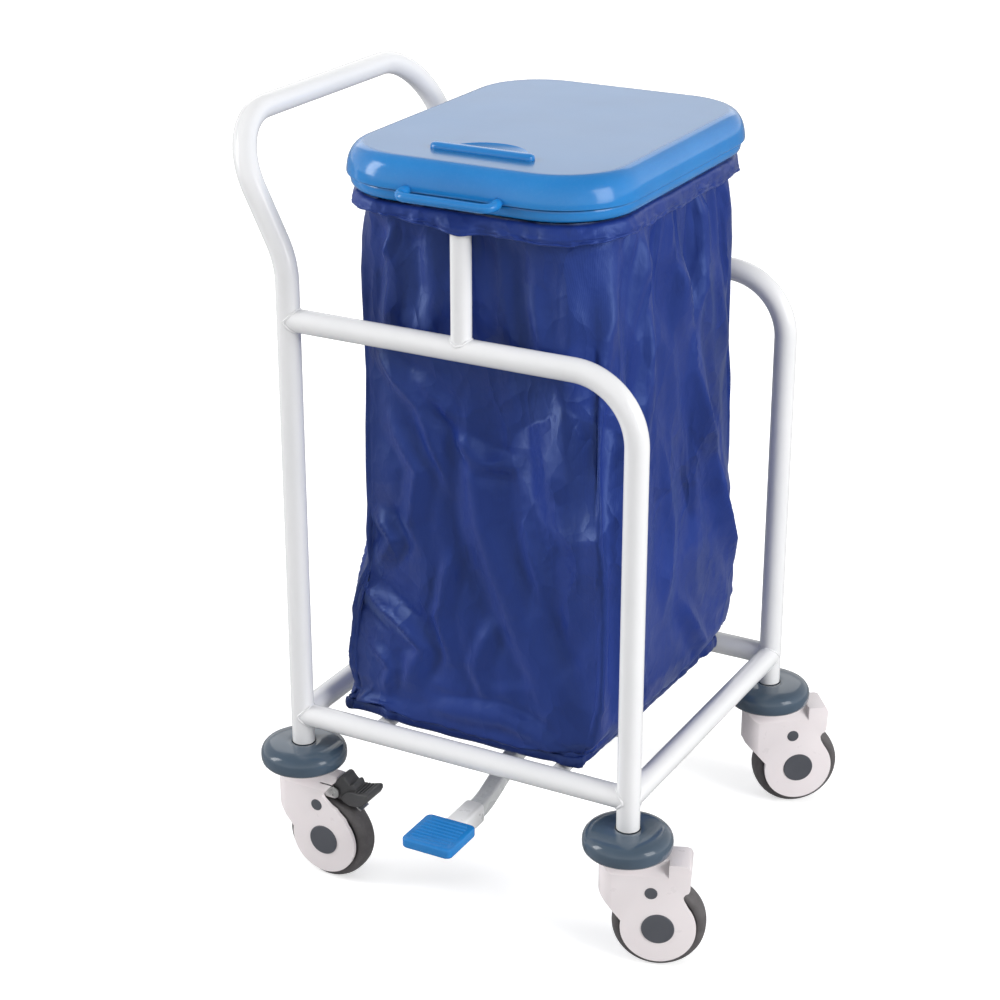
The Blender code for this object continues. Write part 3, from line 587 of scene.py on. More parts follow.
def build_lid():
    wall = [(0.6, 0.2), (0.1, 0.9), (0, 2), (0, 4), (0.3, 6), (0.7, 9), (1.3, 12), (2.1, 15), (3.2, 18)]
    wall += [(4.7, 21), (6.4, 23.6), (8.4, 26), (10.8, 28), (13.4, 29.5), (16.2, 30.5), (18.6, 30.9), (21, 31)]
    rings = [lid_outline(i * MM, LID_LIP_Z + z * MM, corner=16) for i, z in wall]
    inner = [(3.6, 0.2), (3.1, 2), (3.4, 8), (5.4, 17), (9.5, 24), (15, 27.4), (21, 28)]
    under = [lid_outline(i * MM, LID_LIP_Z + z * MM, corner=16) for i, z in inner]
    skin = ring_mesh("lid_shell", under[::-1] + rings, True, True)
    scoop = lathe("scoop", [(0.0001, -1)] + arc((0, 0), 1, -80, 80, 20) + [(0.0001, 1)], steps=72)
    scoop.data.transform(Matrix.Diagonal((0.049, 0.044, 0.0085, 1)))
    scoop.data.transform(Matrix.Translation((0.0035, -0.139, LID_TOP_Z + 0.0038)))
    keep = box_mesh("keep", (-0.1, -0.139, 0.80), (0.1, -0.05, 0.90))
    boolean(scoop, keep, "INTERSECT")
    boolean(skin, scoop)
    finish_piece(skin, "blue_lid", "lid", ["lid"], angle=24)
    for face in skin.data.polygons:
        if face.normal.z > 0.9999 and face.center.z > LID_TOP_Z - 0.0002:
            face.use_smooth = False
    grip_path = straight((-0.047, -0.1445, LID_TOP_Z + 0.0008), (0.054, -0.1445, LID_TOP_Z + 0.0008), 0.006)
    grip = rounded_bar("lid_grip", grip_path, 0.0072, 0.0056)
    finish_piece(grip, "blue_abs", "lid", angle=60)
    build_pull_loop()
    build_seat_ring()


def rounded_bar(name, path, half_width, height):
    """A low bar with domed ends and a soft top."""
    rings = []
    first, last = path[0].x, path[-1].x
    for k in range(25):
        s = k / 24
        x = first - half_width + (last - first + 2 * half_width) * (0.5 - 0.5 * math.cos(math.pi * s))
        past = max(first - x, x - last, 0) / half_width
        share = math.sqrt(max(0.0, 1 - past * past))
        ring = []
        for j in range(24):
            a = 2 * math.pi * j / 24
            c, d = math.cos(a), math.sin(a)
            y = path[0].y + half_width * max(share, 0.02) * math.copysign(abs(c) ** 0.85, c)
            z = path[0].z + height * max(share, 0.02) ** 0.5 * math.copysign(abs(d) ** 0.85, d)
            ring.append(Vector((x, y, z)))
        rings.append(ring)
    return ring_mesh(name, rings, True, True)


def build_pull_loop():
    front = -LID_HALF_Y
    z = LID_LIP_Z + 0.0012
    left, right = CENTRE_X - 0.057, CENTRE_X + 0.045
    corners = [
        (left + 0.004, front + 0.006, z + 0.001),
        (left, front - 0.0185, z - 0.0015),
        (right + 0.006, front - 0.0185, z - 0.0015),
        (right + 0.002, front + 0.006, z + 0.001),
    ]
    path = rounded_path(corners, [0.011, 0.011], 9, 0.008)
    reach = [abs(p.y - front) for p in path]
    radii = [0.0048 + 0.0014 * max(0.0, 1 - r / 0.010) for r in reach]
    loop = sweep("lid_pull_loop", path, radii, 20)
    finish_piece(loop, "blue_abs", "lid", angle=180)


def build_seat_ring():
    outer = [(26, 806.7), (14, 806.9), (6, 806.9), (4.4, 806.3), (4, 805), (4, 801.5), (4.6, 798.8)]
    outer += [(6.2, 796.2), (8.6, 794.7), (10.5, 794.3), (13, 794.3), (13.4, 795), (13.4, 803), (14, 803.7)]
    outer += [(26, 803.7)]
    rings = [lid_outline(i * MM, z * MM, corner=16) for i, z in outer]
    ring = ring_mesh("seat_ring", rings, join_ends=True)
    finish_piece(ring, "blue_abs", "frame", ["lid_seat_ring"])


# ---------------------------------------------------------------- bag

# The bag's plan at each height, in mm: X of its corners at the front handle end, front far end, back far end and
# back handle end, then half its depth and its corner radius. It hangs from the round hoop and squares off below.
BAG_PLAN = (
    (199.6, -155, 126, 137, -142, 168, 6),
    (222, -157, 136, 142, -146, 170, 6),
    (250, -156, 147, 150, -148, 171, 7),
    (285, -153, 153, 157, -148, 171, 7),
    (334, -146, 152, 156, -144, 170, 8),
    (384, -135, 151, 153, -138, 168, 9),
    (454, -132, 151, 150, -134, 167, 10),
    (567, -134, 148, 148, -134, 166, 13),
    (676, -136, 143, 147, -136, 167, 22),
    (740, -138, 141, 147, -138, 172, 42),
    (781, -135.5, 145.5, 145.5, -135.5, 177, 66),
    (786, -136.5, 146.5, 146.5, -136.5, 185.5, 66),
)
BAG_CORNER, BAG_LONG, BAG_SHORT = 6, 40, 32  # points in each corner and between corners
BAG_ROWS = 90
BAG_FLOOR, BAG_TOP = 199.6, 786
BAG_LOWEST = 198.9  # just above the support bars
BAG_ROOM, CUFF_ROOM = 177.3, 190  # half the depth that its faces may reach, below the hoop and at it
HOOP_FOOT = 783
HOOP_LEVEL = 790
GIRTH = 1240.0


def smooth_noise(points, size, seed, octaves=1):
    """Smooth noise at points in mm, with lumps of about the size given."""
    total = np.zeros(len(points))
    for k in range(octaves):
        place = points * (2 ** k / size) + seed * 17.3 + k * 5.1
        total += np.array([noise.noise(Vector(p)) for p in place]) / 2 ** k
    return total


def crumple(flat, size, stretch, seed):
    """Creased cloth: shallow bowls that meet in sharp ridges, round a girth that closes on itself."""
    draw = np.random.default_rng(seed)
    rows = int(600 / (size * stretch)) + 3
    columns = max(4, int(GIRTH / size))
    seeds = []
    for row in range(rows):
        for column in range(columns):
            across, up = draw.uniform(-0.42, 0.42, 2)
            lean = 0.5 * (row % 2)
            seeds.append(((column + lean + across) * GIRTH / columns, (row - 1 + up) * size * stretch + 190))
    seeds = np.array(seeds)
    height = draw.uniform(0.0, 0.45, len(seeds))
    best = np.full(len(flat), 9e9)
    for (u, v), lift in zip(seeds, height):
        du = np.abs(flat[:, 0] - u) % GIRTH
        du = np.minimum(du, GIRTH - du)
        slant = 0.35 * (flat[:, 1] - v) / stretch
        gap = ((du + slant * np.sign(u % 97 - 48)) ** 2 + ((flat[:, 1] - v) / stretch) ** 2) / size ** 2
        best = np.minimum(best, gap + lift)
    return best - best.mean()


def crease_push(u, z, creases):
    """How far a face is pushed out by its creases: each is a polyline in the face with a sharp crest."""
    total = np.zeros(len(u))
    for width, height, line in creases:
        best = np.full(len(u), 1e9)
        fade = np.ones(len(u))
        lengths = [math.dist(a, b) for a, b in zip(line, line[1:])]
        run = 0.0
        for (u0, z0), (u1, z1), length in zip(line, line[1:], lengths):
            t = ((u - u0) * (u1 - u0) + (z - z0) * (z1 - z0)) / length ** 2
            t = np.clip(t, 0, 1)
            gap = np.hypot(u - u0 - t * (u1 - u0), z - z0 - t * (z1 - z0))
            along = (run + t * length) / sum(lengths)
            nearer = gap < best
            best = np.where(nearer, gap, best)
            fade = np.where(nearer, np.minimum(1, np.minimum(along, 1 - along) * 4), fade)
            run += length
        crest = np.exp(-(np.sqrt(best ** 2 + 2.25) - 1.5) / width)
        total += height * fade * (crest - 0.35 * np.exp(-((best - 2.2 * width) / width) ** 2))
    return total


# Each crease: the width of its flanks and its height in mm, then points along it, across the face and up
FRONT_CREASES = (
    (15, 8.5, ((-6, 600), (4, 540), (16, 454), (34, 408), (55, 370), (89, 309), (118, 233), (124, 214))),
    (8, 5.5, ((-122, 446), (-96, 414), (-118, 378))),
    (9, 6.5, ((-140, 352), (-88, 321), (-56, 296), (-83, 240))),
    (8, 6.0, ((-60, 226), (43, 236), (84, 226), (122, 208))),
    (9, 6.0, ((-122, 632), (-57, 574), (-32, 515), (-20, 470))),
    (7, 4.5, ((-16, 548), (20, 524), (56, 522))),
    (7, 4.0, ((-70, 612), (-14, 560))),
    (9, 4.5, ((-104, 560), (-60, 500), (-72, 440), (-60, 400))),
    (16, 6.5, ((104, 800), (112, 690), (104, 560), (112, 440))),
    (9, 5.5, ((82, 800), (80, 700), (88, 640))),
    (10, 4.0, ((-44, 800), (-32, 700), (-46, 640))),
    (8, 4.0, ((-96, 800), (-90, 700), (-100, 640))),
    (8, 4.0, ((62, 470), (86, 400), (92, 330))),
    (7, 4.0, ((-20, 420), (-36, 340), (-20, 280))),
    (7, 3.5, ((30, 350), (10, 290), (24, 250))),
    (6, 3.0, ((-128, 290), (-96, 262), (-110, 225))),
    (4, 4.5, ((-82, 774), (-86, 750), (-97, 721))),
)
SIDE_CREASES = (
    (11, 9.0, ((-136, 720), (-133, 600), (-130, 480), (-122, 340), (-114, 203))),
    (14, 7.0, ((-88, 800), (-76, 690), (-70, 600), (-84, 500))),
    (13, 6.5, ((-22, 800), (-8, 720), (30, 635), (62, 540), (110, 440), (138, 400))),
    (11, 5.5, ((58, 800), (66, 700), (50, 620))),
    (11, 6.0, ((90, 470), (120, 400), (168, 310))),
    (15, 5.0, ((-40, 560), (-6, 420), (-18, 300))),
    (11, 5.0, ((118, 800), (132, 700), (126, 600), (140, 520))),
    (8, 4.0, ((20, 330), (60, 270), (110, 225))),
    (8, 3.5, ((-90, 300), (-60, 250), (-66, 215))),
)


def bag_ring(z):
    """The bag's outline at a height in mm, with the same count of points at every height."""
    heights = [row[0] for row in BAG_PLAN]
    front_near, front_far, back_far, back_near, deep, radius = (
        float(np.interp(z, heights, [row[k] for row in BAG_PLAN])) for k in range(1, 7)
    )
    corners = ((back_far, deep, 0), (back_near, deep, 90), (front_near, -deep, 180), (front_far, -deep, 270))
    bends = []
    for x, y, start in corners:
        middle = (x - math.copysign(radius, x), y - math.copysign(radius, y))
        bends.append(arc(middle, radius, start, start + 90, BAG_CORNER - 1))
    points = []
    for k, bend in enumerate(bends):
        points += bend
        (x0, y0), (x1, y1) = bend[-1], bends[(k + 1) % 4][0]
        count = BAG_LONG if k % 2 else BAG_SHORT
        points += [(x0 + (x1 - x0) * n / (count + 1), y0 + (y1 - y0) * n / (count + 1)) for n in range(1, count + 1)]
    tip = Vector((front_far, -deep))
    strength = 5.0 * min(1, max(0, (z - 205) / 40)) * min(1, max(0, (730 - z) / 120))
    pinched = []
    for x, y in points:
        pull = strength * math.exp(-(Vector((x, y)) - tip).length / 9)
        pinched.append((x + 0.55 * pull, y - 0.85 * pull, z))
    return pinched


def finer(grid):
    """Twice the rows and columns, on a smooth surface through the points there are."""
    near = grid + np.roll(grid, -1, axis=1)
    far = np.roll(grid, 1, axis=1) + np.roll(grid, -2, axis=1)
    wide = np.empty((grid.shape[0], grid.shape[1] * 2, 3))
    wide[:, 0::2] = grid
    wide[:, 1::2] = (9 * near - far) / 16
    padded = np.concatenate([2 * wide[:1] - wide[1:2], wide, 2 * wide[-1:] - wide[-2:-1]])
    tall = np.empty((wide.shape[0] * 2 - 1, wide.shape[1], 3))
    tall[0::2] = wide
    tall[1::2] = (9 * (padded[1:-2] + padded[2:-1]) - padded[:-3] - padded[3:]) / 16
    return tall


def grid_normals(grid):
    around = np.roll(grid, -1, axis=1) - np.roll(grid, 1, axis=1)
    up = np.gradient(grid, axis=0)
    out = np.cross(around, up)
    return out / np.linalg.norm(out, axis=2, keepdims=True)


def outward(line):
    """Level directions out of a closed line of points."""
    flow = np.roll(line, -1, axis=0) - np.roll(line, 1, axis=0)
    out = np.stack([flow[:, 1], -flow[:, 0], flow[:, 0] * 0], axis=1)
    return out / np.linalg.norm(out, axis=1, keepdims=True)


def grid_object(name, grid, bottom=False):
    """A tube of quads from a grid of points in mm, closed round and, if asked, closed below."""
    rows, count = grid.shape[:2]
    verts = [Vector(p) * MM for p in grid.reshape(-1, 3)]
    faces = quads(rows, count)
    if bottom:
        ring = grid[0]
        middle = ring.mean(axis=0)
        previous = list(range(count))
        for share in (0.93, 0.8, 0.62, 0.42, 0.2):
            base = len(verts)
            for p in ring:
                q = middle + (p - middle) * share
                sag = 1.4 * (1 - share) + 0.8 * noise.noise(Vector(q) / 40) * (1 - share)
                verts.append(Vector((q[0], q[1], middle[2] * (1 - share) + p[2] * share + sag)) * MM)
            for k in range(count):
                n = (k + 1) % count
                faces.append((previous[n], previous[k], base + k, base + n))
            previous = list(range(base, base + count))
        faces.append(tuple(previous[::-1]))
    return new_object(name, verts, faces)


def shape_bag(grid):
    """Creases, crumples and pulls on the bag's grid, kept inside the frame's rails."""
    rows, count = grid.shape[:2]
    out = grid_normals(grid).reshape(-1, 3)
    points = grid.reshape(-1, 3).copy()
    x, y, z = points.T
    flat = np.stack([np.tile(np.arange(count) * GIRTH / count, rows), z], axis=1)
    facings = (-out[:, 1], out[:, 1], out[:, 0], -out[:, 0])
    front, back, right, left = (np.clip(facing, 0, 1) ** 1.5 for facing in facings)
    push = front * crease_push(x, z, FRONT_CREASES)
    push += back * crease_push(-x, z, FRONT_CREASES[4:])
    push += right * crease_push(y, z, SIDE_CREASES)
    push += left * crease_push(-y, z, SIDE_CREASES[1:])
    push = 1.9 * push - 8.0 * (front + back)
    push += 4.0 * smooth_noise(points * (1, 1, 0.5), 120, 3, 2)
    busy = np.clip(0.75 + 1.3 * smooth_noise(points, 150, 9), 0.25, 1.5) * (1 - 0.45 * (right + left))
    for height, size, stretch, seed in ((13.0, 150, 2.2, 11), (3.4, 52, 1.6, 12), (0.9, 20, 1.3, 13)):
        push += height * busy * crumple(flat, size, stretch, seed)
    gather = smooth_noise(np.stack([flat[:, 0] * math.tau / GIRTH, z * 0, z * 0.004], 1), 1, 5)
    folds = np.sin(flat[:, 0] / GIRTH * math.tau * 26 + 5 * gather)
    push += 2.4 * folds * np.exp(-(HOOP_LEVEL - z) / 90)
    near_top = np.clip((HOOP_LEVEL - z - 3) / 34, 0, 1)
    near_hem = np.clip((z - 203) / 26, 0.22, 1)
    push *= near_top * near_hem
    points += out * push[:, None] * (1, 1, 0.6)
    points[:, 2] += 2.2 * smooth_noise(points * (1, 1, 0), 55, 8) * np.clip(1 - (z - 199) / 45, 0, 1)
    room = np.where(z < HOOP_FOOT, BAG_ROOM, CUFF_ROOM)
    soft = 6.0
    over = np.abs(points[:, 1]) - (room - soft)
    eased = room - soft + soft * np.tanh(np.maximum(over, 0) / soft)
    points[:, 1] = np.where(over > 0, np.sign(points[:, 1]) * eased, points[:, 1])
    points[:, 2] = np.maximum(points[:, 2], BAG_LOWEST)
    return points.reshape(rows, count, 3)


def build_bag():
    levels = np.concatenate([np.linspace(BAG_FLOOR, HOOP_FOOT, BAG_ROWS), [BAG_TOP]])
    coarse = np.array([bag_ring(z) for z in levels])
    coarse = relax_cloth(coarse)
    grid = shape_bag(finer(coarse))
    bag = grid_object("bag_body", grid, bottom=True)
    lay_uv(bag, *grid.shape[:2], GIRTH * MM)
    add_wall(bag)
    finish_piece(bag, "blue_fabric", "frame", ["linen_bag"], angle=180)
    build_hem(grid)
    build_cuff()


def relax_cloth(grid, frames=20, cap=11.0):
    """Gives the bag a little more cloth than its shape needs, so that it buckles as hanging cloth does."""
    rows, count = grid.shape[:2]
    bag = grid_object("bag_sim", grid)
    pins = bag.vertex_groups.new(name="pins")
    held = [i for i in range(rows * count) if i < 2 * count or i >= (rows - 2) * count]
    pins.add(held, 1.0, "REPLACE")
    cloth = bag.modifiers.new("Cloth", "CLOTH")
    fabric = dict(
        quality=5, mass=0.12, tension_stiffness=15, compression_stiffness=15, shear_stiffness=6,
        bending_stiffness=0.25, vertex_group_mass="pins", shrink_min=-0.04, use_pressure=True,
        uniform_pressure_force=0.25,
    )
    for key, value in fabric.items():
        setattr(cloth.settings, key, value)
    cloth.settings.effector_weights.gravity = 0.35
    cloth.collision_settings.use_collision = False
    cloth.point_cache.frame_start = 1
    cloth.point_cache.frame_end = frames
    scene = bpy.context.scene
    for step in range(1, frames + 1):
        scene.frame_set(step)
    apply_modifiers(bag)
    end = np.array([v.co for v in bag.data.vertices]).reshape(rows, count, 3) / MM
    bpy.data.objects.remove(bag)
    scene.frame_set(1)
    move = end - grid
    length = np.maximum(np.linalg.norm(move, axis=2, keepdims=True), 1e-6)
    return grid + move / length * cap * np.tanh(length / cap)


def lay_uv(obj, rows, columns, girth, rise=None):
    """Metres round and up the fabric, for the weave. Up is the height itself, or rise for each row."""
    layer = obj.data.uv_layers.new(name="weave")
    for face in obj.data.polygons:
        ids = [obj.data.loops[i].vertex_index for i in face.loop_indices]
        places = [v % columns for v in ids]
        wraps = max(places) - min(places) > columns / 2
        for loop, v, place in zip(face.loop_indices, ids, places):
            co = obj.data.vertices[v].co
            if v >= rows * columns:
                layer.data[loop].uv = (co.x, co.y)
                continue
            if wraps and place == 0:
                place = columns
            layer.data[loop].uv = (place * girth / columns, v // columns * rise if rise else co.z)


def build_hem(grid):
    """The sewn band along the bag's bottom edge, pinched into small ears at its corners."""
    count = grid.shape[1]
    base = grid[3]
    out = outward(base)
    corner = np.clip(np.abs(out[:, 0] * out[:, 1]) * 2, 0, 1)
    rings = []
    for k in range(count):
        place = Vector(base[k] + out[k] * (0.5 + 2.5 * corner[k]))
        tall = 5.6 + 0.8 * noise.noise(place / 21) + 1.2 * corner[k]
        thick = 1.3 + 1.4 * corner[k] ** 3
        middle = BAG_LOWEST + tall + 1.2 * noise.noise(place / 33)
        ring = []
        for j in range(10):
            a = math.tau * j / 10
            reach = Vector(out[k]) * (thick * math.cos(a))
            ring.append((Vector((place.x, place.y, middle + tall * math.sin(a))) + reach) * MM)
        rings.append(ring)
    hem = ring_mesh("bag_hem", rings, join_ends=True)
    for vertex in hem.data.vertices:
        vertex.co.y = max(-0.1779, min(0.1779, vertex.co.y))
    add_uv_box(hem)
    finish_piece(hem, "blue_hem", "frame", angle=180)


def add_uv_box(obj):
    layer = obj.data.uv_layers.new(name="weave")
    for face in obj.data.polygons:
        for index in face.loop_indices:
            co = obj.data.vertices[obj.data.loops[index].vertex_index].co
            layer.data[index].uv = (co.x + co.y, co.z)


CUFF_EDGE, CUFF_EDGE_HIGHEST = 774.5, 780.2
CUFF_HELD = 781  # above this height the cuff lies on the hoop

# The cuff's section: inset from the lid's outline and height in mm, and how freely that part hangs
CUFF_SECTION = (
    (19.5, 781, 0), (19.3, 787, 0), (17.5, 790.4, 0), (15, 791.4, 0), (11, 791.4, 0.05), (8.6, 789.8, 0.25),
    (8.0, 786.5, 0.5), (7.9, 783, 0.7), (7.9, 779.5, 0.85), (7.9, 776, 1), (8.0, 772.5, 1), (8.2, 769, 1),
    (8.4, 765.5, 1),
)


def cuff_drop(x, y):
    """Height in mm of the cuff's lower edge at a place round the hoop."""
    drop = CUFF_EDGE + 2.4 * noise.noise(Vector((x / 55, y / 55, 2))) + 1.6 * noise.noise(Vector((x / 18, y / 18, 7)))
    if y < -100:
        drop += 6.0 * math.exp(-(((x + 95) / 45) ** 2)) - 1.5 * math.exp(-(((x - 112) / 38) ** 2))
    return min(drop, CUFF_EDGE_HIGHEST)


def build_cuff():
    """The bag's mouth, turned out over the hoop and hanging loose round it."""
    spots = dict(corner=30, side_x=54, side_y=76)
    lines = {inset: lid_outline(inset * MM, 0, **spots) for inset, _, _ in CUFF_SECTION}
    count = len(lines[19.5])
    outline = np.array(lines[7.9]) / MM
    out = outward(outline)
    grid = np.zeros((len(CUFF_SECTION), count, 3))
    for row, (inset, z, loose) in enumerate(CUFF_SECTION):
        line = np.array(lines[inset]) / MM
        ripple = 2.6 * smooth_noise(line * (1, 1, 0) + (0, 0, z * 0.8), 24, 4, 2)
        ripple += 2.6 * np.abs(smooth_noise(line * (1, 1, 0) + (0, 0, z * 1.6), 15, 6))
        post = np.exp(-(((line[:, 0] - 5) / 18) ** 4)) * np.abs(out[:, 1]) ** 2
        corner = np.abs(out[:, 0] * out[:, 1]) * 2
        push = loose * (0.9 + ripple + 1.2 * corner)
        push = np.maximum(push, -1.0) * (1 - post) + post * loose * 8.6
        low = np.array([cuff_drop(x, y) for x, y, _ in outline])
        share = (CUFF_HELD - z) / (CUFF_HELD - CUFF_SECTION[-1][1])
        level = z if z > CUFF_HELD else CUFF_HELD - share * (CUFF_HELD - low)
        grid[row] = line + out * push[:, None]
        grid[row, :, 2] = level
    grid[:, :, 1] = np.clip(grid[:, :, 1], -207.3, 206.6)
    grid = finer(grid)
    cuff = grid_object("bag_cuff", grid)
    lay_uv(cuff, *grid.shape[:2], 1.08, 0.0021)
    add_wall(cuff)
    finish_piece(cuff, "blue_fabric", "frame", angle=180)
    edge = [Vector(p) * MM for p in grid[-1]]
    roll = sweep("cuff_edge", edge, 0.0010, 8, closed=True, flat=1.5)
    add_uv_box(roll)
    finish_piece(roll, "blue_fabric", "frame", angle=180)


# ---------------------------------------------------------------- pedal and lift


LEVER_FRONT = -0.2450
LEVER_LENGTH = 0.473
LEVER_LOW = 0.112
LEVER_HIGH = 0.140
PAD_Y = -0.247


def lever_height(y):
    """The lever is level at the pad, rises in an S and then falls a little towards its rear end."""
    start, end = -0.165, -0.060
    if y <= start:
        return LEVER_LOW
    if y < end:
        share = (y - start) / (end - start)
        return LEVER_LOW + (LEVER_HIGH - LEVER_LOW) * share * share * (3 - 2 * share)
    return LEVER_HIGH - 0.003 * min(1.0, (y - end) / 0.160)


def rounded_square(u, v, half, radius):
    points = []
    for sign_u, sign_v, start in QUARTERS:
        points += arc((u + sign_u * (half - radius), v + sign_v * (half - radius)), radius, start, start + 90, 6)
    return points


def square_ring(y, height, half, radius):
    return [Vector((x, y, z)) for x, z in rounded_square(CENTRE_X, height, half, radius)]


def build_pedal():
    half, corner, wall = 0.0095, 0.0042, 0.002
    ys = [LEVER_FRONT + LEVER_LENGTH * k / 90 for k in range(91)]
    outer = [square_ring(y, lever_height(y), half, corner) for y in ys]
    inner = [square_ring(y, lever_height(y), half - wall, corner - wall) for y in (ys[-1], ys[-1] - 0.03)]
    lever = ring_mesh("lever_tube", outer + inner, True, True)
    finish_piece(lever, "lever_enamel", "pedal_lever", ["pedal_lever"], angle=50)
    profile = [(-0.2165, 0.0100), (-0.2165, 0.0120), (-0.1690, 0.0120), (-0.1682, 0.0116), (-0.1680, 0.0110)]
    profile += [(-0.1680, 0.0100)]
    rings = [square_ring(y, LEVER_LOW, reach, 0.0055) for y, reach in profile]
    socket = ring_mesh("socket_sleeve", rings, join_ends=True)
    finish_piece(socket, "white_sleeve", "pedal_lever", ["pedal_socket"])
    outline = rounded_square(CENTRE_X, PAD_Y, 0.030, 0.007)
    low, high = 0.1155, 0.1270
    rings = [[Vector((x, y, low)) for x, y in outline], [Vector((x, y, high)) for x, y in outline]]
    pad = ring_mesh("pedal_block", rings, True, True)
    seat = box_mesh("seat", (CENTRE_X - 0.0098, -0.269, 0.1022), (CENTRE_X + 0.0098, -0.19, 0.1218))
    boolean(pad, seat)
    soften(pad, 0.0024, 4, 40)
    finish_piece(pad, "blue_abs", "pedal_lever", ["pedal_pad"], angle=50)
    for k in range(8):
        y = PAD_Y + (k - 3.5) * 0.0062
        half = 0.021 if k in (0, 7) else 0.023
        path = straight((CENTRE_X - half, y, high), (CENTRE_X + half, y, high), 0.004)
        rib = rounded_bar(f"pedal_rib_{k}", path, 0.0015, 0.0010)
        finish_piece(rib, "blue_abs", "pedal_lever", angle=60)


def rod_in_box(name, look, body, node, bevel, disc=False):
    """A turned bar with softened ends in the box of a CAD bar, along its longest way, or upright for a disc."""
    low, high = (corner - LEG_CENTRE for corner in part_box(node))
    size = high - low
    axis = 2 if disc else max(range(3), key=lambda k: size[k])
    radius = (size.x if disc else min(size)) / 2
    half = size[axis] / 2
    profile = [(radius - bevel, -half), (radius, bevel - half), (radius, half - bevel), (radius - bevel, half)]
    place = Matrix.Translation((low + high) / 2)
    if axis < 2:
        place = place @ Matrix.Rotation(math.pi / 2, 4, "YX"[axis])
    finish_piece(lathe(name, profile, place, 36), look, body, [node])


def build_lift():
    rod_in_box("lift_rod", "zinc_steel", "push_rod", "push_rod", 0.0006)
    rod_in_box("lift_rod_cap", "dark_plastic", "push_rod", "push_rod_cap", 0.0014, disc=True)
    rod_in_box("lid_pin", "zinc_steel", "frame", "hinge_pin", 0.0012)
    rod_in_box("lid_crank_pin", "zinc_steel", "lid", "lid_lift_pin", 0.0012)
    rod_in_box("lever_shaft", "zinc_steel", "frame", "pivot_shaft", 0.0010)
    kept = {
        "hinge_bracket": "white_enamel",
        "lid_hinge_arm": "zinc_steel",
        "rod_guide_upper": "white_enamel",
        "rod_guide_lower": "white_enamel",
        "lever_pivot_sleeve": "zinc_steel",
        "pivot_bracket_handle_end": "white_enamel",
        "pivot_bracket_far_end": "white_enamel",
    }
    for name, look in kept.items():
        node = CAD[name]
        node.data.materials.clear()
        node.data.materials.append(LOOKS[look])
        weld = node.modifiers.new("Weld", "WELD")
        weld.merge_threshold = 0.00001
        add_bevel(node, 0.0005, 2, 32)


# ---------------------------------------------------------------- casters


def caster_place(x, y, heading):
    return Matrix.Translation((x, y, 0)) @ Matrix.Rotation(math.radians(heading), 4, "Z")


def hood_outline(braked):
    outline = [(-29.5, 127), (-29.5, 91)] + arc((-20.5, 88), 9, 180, 222, 4) + [(-16.5, 71.5)]
    outline += arc((35, 50), 40, 170, 182, 3)
    outline += arc((35, 50), 40, 190, 398, 44)
    if braked:
        outline += [(62.5, 82), (55, 88.5), (51.5, 92.5), (46, 95), (35.5, 103.5), (34.5, 106), (38, 111)]
        outline += [(47, 122), (48.5, 125.5), (46.5, 127)]
    else:
        outline += [(61.5, 84), (60.5, 89), (62.5, 93), (66, 95), (67.5, 98), (68.5, 121), (66.5, 126), (62, 127.5)]
    return in_metres(outline)


def build_hood(k, braked, place):
    body = "swivel_" + k
    hood = prism("hood_shell_" + k, hood_outline(braked), -0.0200, 0.0200)
    plan = [(0.09, -0.0205), (0.09, 0.0205)] + arc((-0.0095, 0), 0.0205, 90, 270, 24)
    nose = prism("nose", [(x, -y) for x, y in plan], -0.15, 0.0)
    nose.data.transform(Matrix.Rotation(-math.pi / 2, 4, "X"))
    boolean(hood, nose, "INTERSECT")
    for sign in (-1, 1):
        reach = 0.045 if not braked else 0.2
        slope = [(0.0225, 0.109), (0.0225, 0.14), (0.0035, 0.14), (0.0075, 0.1272), (0.0197, 0.1125)]
        wedge = prism("wedge", [(sign * a, b) for a, b in slope], -0.06, reach)
        wedge.data.transform(Matrix(((0, 1, 0, 0), (1, 0, 0, 0), (0, 0, 1, 0), (0, 0, 0, 1))))
        face_out(wedge)
        boolean(hood, wedge)
    tunnel_place = Matrix.Translation((TRAIL, 0, WHEEL_R)) @ Matrix.Rotation(math.pi / 2, 4, "X")
    tunnel = lathe("tunnel", [(0.0525, -0.0155), (0.0525, 0.0155)], tunnel_place, 72)
    boolean(hood, tunnel)
    if braked:
        boolean(hood, box_mesh("slot", (0.029, -0.0150, 0.097), (0.12, 0.0150, 0.119)))
    soften(hood, 0.0022, 4, 38, place)
    finish_piece(hood, "ivory_plastic", body, ["hood_" + k], angle=45)
    for sign in (-1, 1):
        face = sign * 0.0200
        turn = Matrix.Rotation(-sign * math.pi / 2, 4, "X")
        cap_place = place @ Matrix.Translation((0.027, face, 0.0925)) @ turn
        side = "in" if sign > 0 else "out"
        turned(f"hood_plug_{k}_{side}", domed(6.8, 0.6), cap_place, 40, "dark_plastic", body)


def domed(radius, height, base=-1.0):
    """A low cap with a softened rim: its profile from the base up to the middle."""
    profile = [(radius, base), (radius, height * 0.3), (radius - height * 0.5, height * 0.85)]
    return profile + [(radius * 0.6, height * 1.05), (0.1, height * 1.15)]


